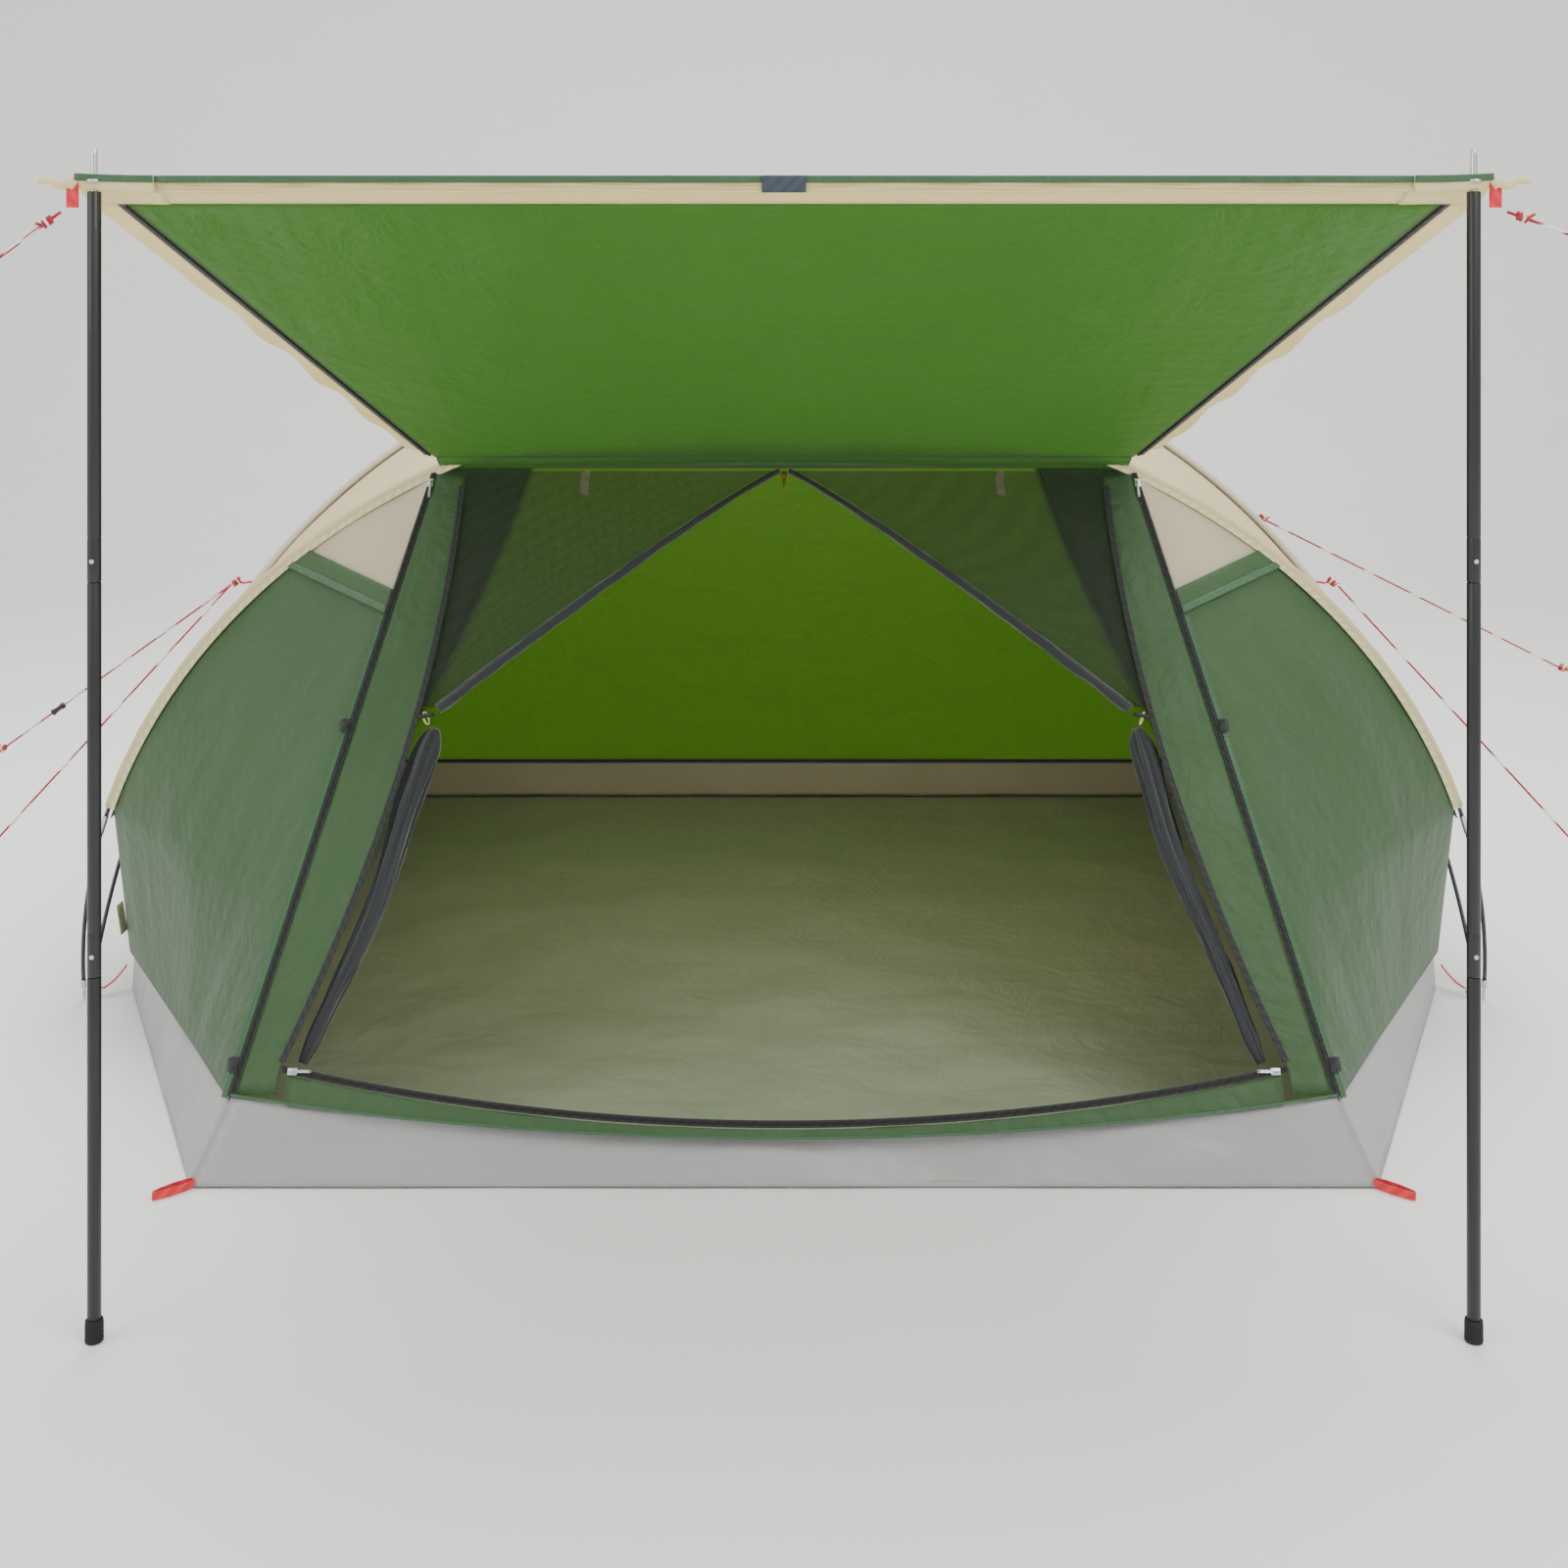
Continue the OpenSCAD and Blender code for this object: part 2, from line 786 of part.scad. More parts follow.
module corner_rope(side) {
    edge = awning_point(0, awning_len, awning_lift);
    x = awning_edge(awning_len) + corner_out + 14;
    from = [side * x, edge[1] - 9, edge[2] - 44];
    to = side < 0 ? [-1142, edge[1] - 60, edge[2] - 162] : [1160, edge[1] - 60, edge[2] - 110];
    rope(taut(from, to), "red");
}

module guy_knot() {
    translate(knot)
        sphere(r = knot_r, $fn = 20);
}

module guy_loop() {
    bar(guy_start + [sleeve_r + 4, -2, 0], knot - [knot_r - 1, 0, 0], 3, 3);
}

module guy_loops() {
    color("crimson") {
        pair() {
            guy_knot();
            guy_loop();
        }
        bar(guy_right_start + [4, 3, 0], guy_right_start + [10, 6, -6], 3.4, 4.4);
    }
}

module tensioner() {
    from = [-knot[0] - knot_r - 4, knot[1] + 5, knot[2] - 8];
    mid = mix(from, guy_left_end, 0.72);
    line = unit(guy_left_end - from);
    color("black")
        difference() {
            bar(mid, mid + 34 * line, 8, 8);
            bar(mid - line, mid + 35 * line, rope_r + 0.4, rope_r + 0.4);
        }
}

module peg() {
    color("silver")
        translate(peg_foot)
            union() {
                cylinder(h = peg_h, r = 3.5);
                translate([-14, 0, peg_h - 3.5])
                    rotate([0, 90, 0])
                        cylinder(h = 14, r = 3.5);
            }
}

groundsheet();
tub_wall();
front_gore(-1);  // front_gore_left
front_gore(1);  // front_gore_right
vents();
rear_wall();
rear_gore(-1);  // rear_gore_left
rear_gore(1);  // rear_gore_right
pair() side_panel();  // side_panels
front_header();
roof_strip();
pair() strip_hem();  // strip_hems
door_border(-1);  // door_border_left
door_border(1);  // door_border_right
door_sill();
door_zips();
mesh_door(-1);  // mesh_door_left
mesh_door(1);  // mesh_door_right
pair() mesh_roll();  // mesh_rolls
mesh_slider();
toggles();
hoop(false);  // front_hoop
hoop(true);  // rear_hoop
sleeve(false);  // front_sleeve
sleeve(true);  // rear_sleeve
pair() hoop_legs();
pair() hoop_tips();
pair() foot_straps();
guy_loops();
pair() peg();  // pegs
tensioner();
guy_front(-1);  // guy_front_left
guy_front(1);  // guy_front_right
guy_rear(-1);  // guy_rear_left
guy_rear(1);  // guy_rear_right
door_slider(-1);  // door_slider_left
door_slider(1);  // door_slider_right
sill_slider(-1);  // sill_slider_left
sill_slider(1);  // sill_slider_right
awning_panel();
awning_hem();
awning_trim();
pair() zip_bands();
storm_flap(-1);  // storm_flap_left
storm_flap(1);  // storm_flap_right
pole_low(-1);  // pole_low_left
pole_mid(-1);  // pole_mid_left
pole_high(-1);  // pole_high_left
pole_spike(-1);  // pole_spike_left
pole_foot(-1);  // pole_foot_left
awning_corner(-1);  // awning_corner_left
corner_rope(-1);  // corner_rope_left
pole_low(1);  // pole_low_right
pole_mid(1);  // pole_mid_right
pole_high(1);  // pole_high_right
pole_spike(1);  // pole_spike_right
pole_foot(1);  // pole_foot_right
awning_corner(1);  // awning_corner_right
corner_rope(1);  // corner_rope_right
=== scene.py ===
"""Dome tent with its door panel raised as an awning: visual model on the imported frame."""
import json
import logging
import math
from dataclasses import dataclass, field
from enum import Enum
from typing import Callable, Sequence

import bpy
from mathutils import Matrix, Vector, noise

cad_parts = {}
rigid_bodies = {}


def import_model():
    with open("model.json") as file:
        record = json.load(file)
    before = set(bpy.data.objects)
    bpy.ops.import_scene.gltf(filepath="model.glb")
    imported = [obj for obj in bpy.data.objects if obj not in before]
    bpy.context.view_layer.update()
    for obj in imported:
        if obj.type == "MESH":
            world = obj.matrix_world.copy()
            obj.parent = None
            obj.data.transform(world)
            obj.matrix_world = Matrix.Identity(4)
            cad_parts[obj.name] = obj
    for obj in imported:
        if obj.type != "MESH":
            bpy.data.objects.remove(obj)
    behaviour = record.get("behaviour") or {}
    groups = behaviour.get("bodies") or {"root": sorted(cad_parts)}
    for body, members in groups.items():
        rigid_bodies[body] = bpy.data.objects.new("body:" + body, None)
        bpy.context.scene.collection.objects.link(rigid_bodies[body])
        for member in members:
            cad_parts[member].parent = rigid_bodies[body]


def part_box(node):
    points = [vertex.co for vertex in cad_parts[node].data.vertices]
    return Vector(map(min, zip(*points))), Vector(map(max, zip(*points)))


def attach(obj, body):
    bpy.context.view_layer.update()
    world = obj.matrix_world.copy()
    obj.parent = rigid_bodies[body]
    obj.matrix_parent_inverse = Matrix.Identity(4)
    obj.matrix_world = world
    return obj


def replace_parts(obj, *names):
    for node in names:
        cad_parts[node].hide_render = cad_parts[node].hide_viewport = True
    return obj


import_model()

log = logging.getLogger("tent")
Point = tuple[float, float, float]
SIDES = {"left": -1, "right": 1}


# ---------------------------------------------------------------- sizes
@dataclass(frozen=True)
class TentSizes:
    """Driving dimensions of the tent in metres and degrees, on the same frame as the part."""

    half: float = 1.480
    front_rise: float = 1.320
    front_lean: float = 12.0
    rear_rise: float = 1.590
    rear_lean: float = 28.0
    rear_power: float = 2.2
    foot_gap: float = 0.014
    pole_r: float = 0.0043
    sleeve_r: float = 0.009
    inset: float = 0.010
    floor_front: float = 0.835
    floor_back: float = 1.600
    front_half: float = 0.980
    back_half: float = 1.200
    side_x: float = 1.400
    side_y: float = 0.040
    side_seam: float = 0.090
    back_seam: float = 0.115
    tub_h: float = 0.130
    hinge_z: float = 1.142
    strip_end: float = 0.430
    opening_half: float = 0.632
    awning_len: float = 1.136
    awning_slope: float = 24.4
    awning_half: float = 0.958
    toggle_z: float = 0.700
    sill_sag: float = 0.076
    opening_flare: float = 2.0

    @property
    def sill_z(self) -> float:
        """Height of the sill zip's ends."""
        return self.tub_h + 0.035

    @property
    def zip_foot(self) -> float:
        """Half the distance between the lower ends of the door zips."""
        return self.front_half - self.tub_h * 0.42

    @property
    def sill_half(self) -> float:
        """Half the length of the sill zip."""
        return self.zip_foot - 0.075

    @property
    def door_foot_y(self) -> float:
        """Place of the front wall's top seam along Y."""
        return -self.floor_front + self.tub_h * 0.35

    @property
    def hinge_y(self) -> float:
        """Place of the door's top seam along Y."""
        return -self.hinge_z * math.tan(math.radians(self.front_lean))

    @property
    def door_half(self) -> float:
        """Half the width of the door at its top seam."""
        return self.half * math.cos(math.radians(self.front_angle(self.hinge_z)))

    def front_angle(self, z: float) -> float:
        """Angle in degrees at which the front hoop reaches height z."""
        return math.degrees(math.asin(z / (self.front_rise * math.cos(math.radians(self.front_lean)))))

    def rear_angle(self, z: float) -> float:
        """Angle in degrees at which the rear hoop reaches height z."""
        share = z / (self.rear_rise * math.cos(math.radians(self.rear_lean)))
        return math.degrees(math.asin(share ** (self.rear_power / 2)))

    def front_hoop(self, angle: float, inward: float = 0.0) -> Vector:
        """Point on the front hoop.

        Args:
            angle: degrees from the right foot to the left foot.
            inward: distance inside the hoop's line.

        Returns:
            The point in the part's frame.
        """
        turn, lean = math.radians(angle), math.radians(self.front_lean)
        rise = (self.front_rise - inward) * math.sin(turn)
        foot = self.foot_gap * (1 - math.sin(turn))
        across = (self.half - inward) * math.cos(turn)
        return Vector((across, -rise * math.sin(lean) - foot, rise * math.cos(lean)))

    def rear_hoop(self, angle: float, inward: float = 0.0) -> Vector:
        """Point on the rear hoop, with the arguments of front_hoop."""
        turn, lean = math.radians(angle), math.radians(self.rear_lean)
        power = 2 / self.rear_power
        rise = (self.rear_rise - inward) * abs(math.sin(turn)) ** power
        foot = self.foot_gap * (1 - math.sin(turn))
        across = (self.half - inward) * math.copysign(abs(math.cos(turn)) ** power, math.cos(turn))
        return Vector((across, rise * math.sin(lean) + foot, rise * math.cos(lean)))

    @property
    def door_out(self) -> Vector:
        """Unit vector out of the front of the door's plane."""
        return Vector((0, -(self.hinge_z - self.tub_h), self.hinge_y - self.door_foot_y)).normalized()

    def door_point(self, x: float, z: float, out: float = 0.0) -> Vector:
        """Point on the door's plane at x and z, and out metres in front of it."""
        slope = (self.hinge_y - self.door_foot_y) / (self.hinge_z - self.tub_h)
        return Vector((x, self.hinge_y - (self.hinge_z - z) * slope, z)) + out * self.door_out

    def zip_x(self, z: float) -> float:
        """Distance of the right door zip from the middle at height z."""
        down = (self.hinge_z - z) / (self.hinge_z - self.tub_h)
        return self.door_half + (self.zip_foot - self.door_half) * down

    def opening_x(self, z: float) -> float:
        """Distance of the opening's edge from the middle at height z."""
        down = (self.hinge_z - z) / (self.hinge_z - self.sill_z)
        return self.opening_half + (self.sill_half - self.opening_half) * down ** self.opening_flare

    def sill_height(self, x: float) -> float:
        """Height of the sagging sill zip at x."""
        return self.sill_z - self.sill_sag * (1 - (x / self.sill_half) ** 2)

    def seam_height(self, x: float) -> float:
        """Height of the front wall's sagging top seam at x."""
        return self.tub_h - 0.058 * (1 - (x / self.zip_foot) ** 2)

    def awning_point(self, u: float, v: float, w: float = 0.0) -> Vector:
        """Point on the awning: u across, v out from the seam and w above its plane."""
        slope = math.radians(self.awning_slope)
        return Vector((u, self.hinge_y - v * math.cos(slope) + w * math.sin(slope),
                       self.hinge_z + v * math.sin(slope) + w * math.cos(slope)))

    def awning_edge(self, v: float) -> float:
        """Half the awning's width at v."""
        top = self.door_half - 0.008
        return top + (self.awning_half - top) * v / self.awning_len


SIZE = TentSizes()
AWNING_LIFT = 0.013
CLOTH = 0.0016


def mix(start: Vector, end: Vector, share: float) -> Vector:
    """Point between start and end."""
    return start + (end - start) * share


# ---------------------------------------------------------------- finishes
def linear(code: str, alpha: float = 1.0) -> tuple[float, float, float, float]:
    """Linear colour of an sRGB hex code such as '4f6b3f'."""
    parts = [int(code[i:i + 2], 16) / 255 for i in (0, 2, 4)]
    red, green, blue = (p / 12.92 if p <= 0.04045 else ((p + 0.055) / 1.055) ** 2.4 for p in parts)
    return red, green, blue, alpha


def add_node(material: bpy.types.Material, kind: str, settings: dict | None = None,
             links: dict | None = None, **values: object) -> bpy.types.Node:
    """Adds a shader node.

    Args:
        material: the material that the node goes into.
        kind: the node's type name without its ShaderNode prefix.
        settings: attributes of the node, such as blend_type.
        links: input name or number to the output socket that feeds it.
        values: input values, with underscores for the spaces of the input's name.

    Returns:
        The new node.
    """
    node = material.node_tree.nodes.new("ShaderNode" + kind)
    for name, value in (settings or {}).items():
        setattr(node, name, value)
    for name, value in values.items():
        node.inputs[name.replace("_", " ")].default_value = value
    for name, socket in (links or {}).items():
        material.node_tree.links.new(socket, node.inputs[name])
    return node


def new_material(name: str) -> bpy.types.Material:
    """Empty node material of that name."""
    material = bpy.data.materials.new(name)
    material.use_nodes = True
    material.node_tree.nodes.clear()
    return material


def output(material: bpy.types.Material, surface: bpy.types.NodeSocket) -> bpy.types.Material:
    """The material with surface on its output."""
    add_node(material, "OutputMaterial", links={"Surface": surface})
    return material


class Weave(Enum):
    """How the yarns of a cloth cross."""

    TAFFETA = "plain weave, threads a third of a millimetre apart"
    SHEETING = "flat tapes two millimetres wide"


def woven_bump(material: bpy.types.Material, spacing_mm: float, strength: float) -> bpy.types.Node:
    """Bump of two crossed sets of yarns.

    Args:
        material: the cloth's material.
        spacing_mm: distance between yarns, drawn coarse enough to show.
        strength: strength of the bump.

    Returns:
        The bump node.
    """
    place = add_node(material, "TexCoord").outputs["UV"]
    turns_per_metre = 1000 / spacing_mm / 20
    yarns = [add_node(material, "TexWave", {"wave_type": "BANDS", "bands_direction": way},
                      {"Vector": place}, Scale=turns_per_metre, Distortion=0.4)
             for way in ("X", "Y")]
    cross = add_node(material, "Math", {"operation": "MULTIPLY"},
                     {0: yarns[0].outputs["Fac"], 1: yarns[1].outputs["Fac"]})
    crease = add_node(material, "TexNoise", links={"Vector": place}, Scale=7.0, Detail=8.0, Roughness=0.62,
                      Distortion=0.8)
    both = add_node(material, "Math", {"operation": "MULTIPLY_ADD"},
                    {0: crease.outputs["Fac"], 2: cross.outputs[0]})
    both.inputs[1].default_value = 14.0
    return add_node(material, "Bump", links={"Height": both.outputs[0]}, Strength=strength, Distance=0.0022)


@dataclass(frozen=True)
class CoatedPolyester:
    """Polyester taffeta, woven, dyed and coated inside: thin, so light from behind shows through it."""

    name: str
    face: str
    fade: str
    lit: str
    glow: float = 0.3
    roughness: float = 0.52
    sheen: float = 0.25
    weave: Weave = Weave.TAFFETA

    def build(self) -> bpy.types.Material:
        """The cloth: soft creases, faint colour clouds and the yarns' fine grain."""
        material = new_material(self.name)
        place = add_node(material, "TexCoord").outputs["Object"]
        clouds = add_node(material, "TexNoise", links={"Vector": place}, Scale=2.2, Detail=4.0)
        colour = add_node(material, "Mix", {"data_type": "RGBA"}, {"Factor": clouds.outputs["Fac"]})
        colour.inputs["A"].default_value = linear(self.face)
        colour.inputs["B"].default_value = linear(self.fade)
        # Yarns are 0.35 mm apart; drawn at 6 mm, because finer ones don't show.
        spacing = 6.0 if self.weave is Weave.TAFFETA else 8.0
        bump = woven_bump(material, spacing, 0.45 if self.weave is Weave.TAFFETA else 0.22)
        face = add_node(material, "BsdfPrincipled",
                        links={"Base Color": colour.outputs["Result"], "Normal": bump.outputs[0]},
                        Roughness=self.roughness, IOR=1.5, Sheen_Weight=self.sheen)
        if self.glow <= 0:
            return output(material, face.outputs[0])
        through = add_node(material, "BsdfTranslucent", links={"Normal": bump.outputs[0]},
                           Color=linear(self.lit))
        both = add_node(material, "MixShader", links={1: face.outputs[0], 2: through.outputs[0]},
                        Fac=self.glow)
        return output(material, both.outputs[0])


@dataclass(frozen=True)
class InsectNet:
    """Knitted polyester net: dark, and half see-through because its holes are a millimetre wide."""

    name: str = "knitted_insect_net"
    thread: str = "20261d"
    cover: float = 0.36

    def build(self) -> bpy.types.Material:
        """The net, its holes drawn as an even veil with threads every 5 mm."""
        material = new_material(self.name)
        place = add_node(material, "TexCoord").outputs["UV"]
        threads = add_node(material, "TexWave", {"wave_type": "BANDS", "bands_direction": "DIAGONAL"},
                           {"Vector": place}, Scale=10.0, Distortion=1.0)
        cover = add_node(material, "MapRange", links={"Value": threads.outputs["Fac"]})
        cover.inputs["To Min"].default_value = self.cover - 0.02
        cover.inputs["To Max"].default_value = self.cover + 0.02
        thread = add_node(material, "BsdfPrincipled", Base_Color=linear(self.thread), Roughness=0.7, IOR=1.5,
                          Sheen_Weight=0.4)
        clear = add_node(material, "BsdfTransparent")
        both = add_node(material, "MixShader",
                        links={0: cover.outputs[0], 1: clear.outputs[0], 2: thread.outputs[0]})
        return output(material, both.outputs[0])


@dataclass(frozen=True)
class PlainSolid:
    """Moulded, drawn or painted solid: an even colour with fine grain from how it was made."""

    name: str
    colour: str
    roughness: float
    metallic: float = 0.0
    grain_mm: float = 1.5
    grain: float = 0.12
    coat: float = 0.0
    worn: str = ""

    def build(self) -> bpy.types.Material:
        """The solid's surface, a little rougher and paler where it is handled."""
        material = new_material(self.name)
        place = add_node(material, "TexCoord").outputs["Object"]
        fine = add_node(material, "TexNoise", links={"Vector": place}, Scale=1000 / self.grain_mm / 6,
                        Detail=3.0)
        broad = add_node(material, "TexNoise", links={"Vector": place}, Scale=14.0, Detail=5.0)
        colour = add_node(material, "Mix", {"data_type": "RGBA"}, {"Factor": broad.outputs["Fac"]})
        colour.inputs["A"].default_value = linear(self.colour)
        colour.inputs["B"].default_value = linear(self.worn or self.colour)
        rough = add_node(material, "MapRange", links={"Value": broad.outputs["Fac"]})
        rough.inputs["To Min"].default_value = self.roughness - 0.06
        rough.inputs["To Max"].default_value = self.roughness + 0.08
        bump = add_node(material, "Bump", links={"Height": fine.outputs["Fac"]}, Strength=self.grain,
                        Distance=0.0004)
        solid = add_node(material, "BsdfPrincipled",
                         links={"Base Color": colour.outputs["Result"], "Roughness": rough.outputs[0],
                                "Normal": bump.outputs[0]},
                         Metallic=self.metallic, Coat_Weight=self.coat)
        return output(material, solid.outputs[0])


@dataclass(frozen=True)
class WovenTape:
    """Narrow woven or knitted tape: cross ribs every millimetre and a dry, matt face."""

    name: str
    colour: str
    fade: str
    rib_mm: float = 2.0
    fleck: str = ""

    def build(self) -> bpy.types.Material:
        """The tape with ribs, and flecks of a second yarn where it has one."""
        material = new_material(self.name)
        place = add_node(material, "TexCoord").outputs["UV"]
        ribs = add_node(material, "TexWave", {"wave_type": "BANDS", "bands_direction": "DIAGONAL"},
                        {"Vector": place}, Scale=1000 / self.rib_mm / 20, Distortion=0.6)
        colour = add_node(material, "Mix", {"data_type": "RGBA"}, {"Factor": ribs.outputs["Fac"]})
        colour.inputs["A"].default_value = linear(self.colour)
        colour.inputs["B"].default_value = linear(self.fade)
        shown = colour.outputs["Result"]
        if self.fleck:
            # The pale tracer yarn crosses about every 12 mm.
            tracer = add_node(material, "TexWave", {"wave_type": "BANDS", "bands_direction": "DIAGONAL"},
                              {"Vector": place}, Scale=4.2, Distortion=1.5)
            edge = add_node(material, "ValToRGB", links={"Fac": tracer.outputs["Fac"]})
            edge.color_ramp.elements[0].position = 0.86
            edge.color_ramp.elements[1].position = 0.92
            with_fleck = add_node(material, "Mix", {"data_type": "RGBA"},
                                  {"Factor": edge.outputs["Color"], "A": shown})
            with_fleck.inputs["B"].default_value = linear(self.fleck)
            shown = with_fleck.outputs["Result"]
        bump = add_node(material, "Bump", links={"Height": ribs.outputs["Fac"]}, Strength=0.5,
                        Distance=0.0008)
        tape = add_node(material, "BsdfPrincipled", links={"Base Color": shown, "Normal": bump.outputs[0]},
                        Roughness=0.75, IOR=1.5, Sheen_Weight=0.3)
        return output(material, tape.outputs[0])


class Finish(Enum):
    """Every finish on the tent; each material is made once."""

    GREEN = CoatedPolyester("green_polyester_taffeta", "33522b", "3d6035", "6fa33a", 0.2, sheen=0.1)
    # Painted backlight: the gores' green taffeta with lighter, more saturated face and through-light colours,
    # painted for light shining down through the awning; the translucent mix itself is real.
    AWNING = CoatedPolyester("awning_polyester_taffeta", "3a6820", "447427", "86b83c", 0.4, sheen=0.1)
    # Painted backlight: the gores' green taffeta with lighter face and through-light colours, painted for
    # daylight shining through the rear wall seen from inside; the translucent mix itself is real.
    INNER = CoatedPolyester("rear_wall_polyester_taffeta", "4c6e32", "56793a", "9cc068", 0.5, sheen=0.1)
    CREAM = CoatedPolyester("cream_polyester_taffeta", "e2d5a0", "ebdfb2", "fff0bc", 0.35, sheen=0.1)
    VENT = CoatedPolyester("vent_polyester_taffeta", "c4b99c", "d0c7ae", "fff4dc", 0.3, sheen=0.1)
    DARK = CoatedPolyester("dark_green_binding", "27502d", "2e5a33", "3f7030", 0.0)
    SHEETING = CoatedPolyester("woven_polyethylene_sheeting", "999998", "adadac", "ffffff", 0.08, 0.34,
                               0.0, Weave.SHEETING)
    FLOOR = CoatedPolyester("coated_floor_sheeting", "939c86", "a2aa96", "ffffff", 0.0, 0.34, 0.0,
                            Weave.SHEETING)
    BAND = CoatedPolyester("inner_wall_sheeting", "c2b8a2", "cec4ae", "ffffff", 0.1, 0.4, 0.0, Weave.SHEETING)
    NET = InsectNet()
    NET_FOLDS = CoatedPolyester("gathered_insect_net", "15181a", "22262a", "ffffff", 0.0, 0.75, 0.5)
    ZIP = WovenTape("knitted_zip_tape", "121313", "242526", 1.6)
    NAVY = WovenTape("navy_binding_tape", "2b3440", "343e4b", 1.6)
    RED_TAPE = WovenTape("red_polyester_webbing", "c4161f", "d8303a", 2.0)
    CREAM_TAPE = WovenTape("cream_cord_tape", "e2d9ae", "cfc593", 1.8)
    ROPE = WovenTape("braided_red_rope", "b3121d", "8e1019", 2.4, "f2e9e4")
    ROPE_ORANGE = WovenTape("braided_orange_rope", "b9351a", "94200f", 2.4, "f2e9c0")
    STEEL = PlainSolid("black_powder_coated_steel", "0e0f10", 0.45, 0.0, 0.8, 0.2, 0.15, "151617")
    BRIGHT = PlainSolid("drawn_zinc_plated_steel", "b9bcc0", 0.3, 1.0, 1.0, 0.1, 0.0, "d2d4d6")
    GLASSFIBRE = PlainSolid("pultruded_glass_fibre", "1b1c1e", 0.38, 0.0, 0.9, 0.3, 0.2, "26272a")
    RUBBER = PlainSolid("moulded_rubber", "151515", 0.8, 0.0, 1.0, 0.3)
    NYLON = PlainSolid("moulded_nylon", "131416", 0.5, 0.0, 1.2, 0.2)
    BRASS = PlainSolid("die_cast_brass", "c69a4e", 0.35, 1.0, 1.0, 0.1, 0.0, "b08740")

    @property
    def material(self) -> bpy.types.Material:
        """The finish's material, made on first use."""
        return bpy.data.materials.get(self.value.name) or self.value.build()


# ---------------------------------------------------------------- mesh helpers
def mesh_object(name: str, points: Sequence[Vector], faces: Sequence[Sequence[int]],
                finish: Finish, smooth: bool = True) -> bpy.types.Object:
    """New object of those points and faces with that finish."""
    mesh = bpy.data.meshes.new(name)
    mesh.from_pydata([tuple(p) for p in points], [], [tuple(f) for f in faces])
    mesh.materials.append(finish.material)
    mesh.polygons.foreach_set("use_smooth", [smooth] * len(mesh.polygons))
    piece = bpy.data.objects.new(name, mesh)
    bpy.context.scene.collection.objects.link(piece)
    return piece


@dataclass(frozen=True)
class Wrinkle:
    """Creases of tensioned cloth: depth in metres, and how many run across and along it per metre."""

    depth: float = 0.003
    across: float = 5.0
    along: float = 1.6
    seed: float = 0.0
    edge: float = 0.08

    def at(self, x: float, y: float, share_x: float, share_y: float) -> float:
        """Height of the crease at a place.

        Args:
            x: metres across the cloth.
            y: metres along the cloth.
            share_x: place across from 0 to 1, to fade the creases at the seams.
            share_y: place along from 0 to 1.

        Returns:
            The height in metres, towards the cloth's face.
        """
        rim = min(share_x, 1 - share_x, share_y, 1 - share_y) / self.edge
        fade = min(1.0, max(0.0, rim))
        broad = noise.noise(Vector((x * self.across, y * self.along, self.seed)))
        fine = noise.noise(Vector((x * self.across * 3.1, y * self.along * 2.4, self.seed + 9)))
        return self.depth * fade * (broad + 0.35 * fine)


def cloth(name: str, shape: Callable[[float, float], Vector], finish: Finish, rows: int = 40, cols: int = 40,
          wrinkle: Wrinkle = Wrinkle(), thick: float = CLOTH) -> bpy.types.Object:
    """Sheet of cloth with real thickness, creases and a UV map in metres.

    Args:
        name: the piece's name.
        shape: point of the outer face for a place down (0 to 1) and across (0 to 1).
        finish: its finish.
        rows: steps down.
        cols: steps across.
        wrinkle: its creases.
        thick: its thickness.

    Returns:
        The piece.
    """
    grid = [[shape(i / rows, j / cols) for j in range(cols + 1)] for i in range(rows + 1)]
    tall = [[0.0] * (cols + 1)]
    for i in range(rows):
        tall.append([tall[-1][j] + (grid[i + 1][j] - grid[i][j]).length for j in range(cols + 1)])
    wide = [[0.0] for _ in grid]
    for i, row in enumerate(grid):
        for j in range(cols):
            wide[i].append(wide[i][-1] + (row[j + 1] - row[j]).length)
    points = []
    for i in range(rows + 1):
        for j in range(cols + 1):
            along = grid[min(i + 1, rows)][j] - grid[max(i - 1, 0)][j]
            across = grid[i][min(j + 1, cols)] - grid[i][max(j - 1, 0)]
            facing = along.cross(across)
            facing = facing.normalized() if facing.length > 1e-9 else Vector((0, 0, 1))
            lift = wrinkle.at(wide[i][j] - wide[i][-1] / 2, tall[i][j], j / cols, i / rows)
            points.append(grid[i][j] + facing * lift)
    step = cols + 1
    faces = [(i * step + j, (i + 1) * step + j, (i + 1) * step + j + 1, i * step + j + 1)
             for i in range(rows) for j in range(cols)]
    piece = mesh_object(name, points, faces, finish)
    layer = piece.data.uv_layers.new(name="metres")
    for loop in piece.data.loops:
        i, j = divmod(loop.vertex_index, step)
        layer.data[loop.index].uv = (wide[i][j] - wide[i][-1] / 2, tall[i][j])
    solid = piece.modifiers.new("thickness", "SOLIDIFY")
    solid.thickness = thick
    solid.offset = -1
    return piece


LEAST_AREA_SHARE = 0.301
MOST_AREA_SHARE = 0.999


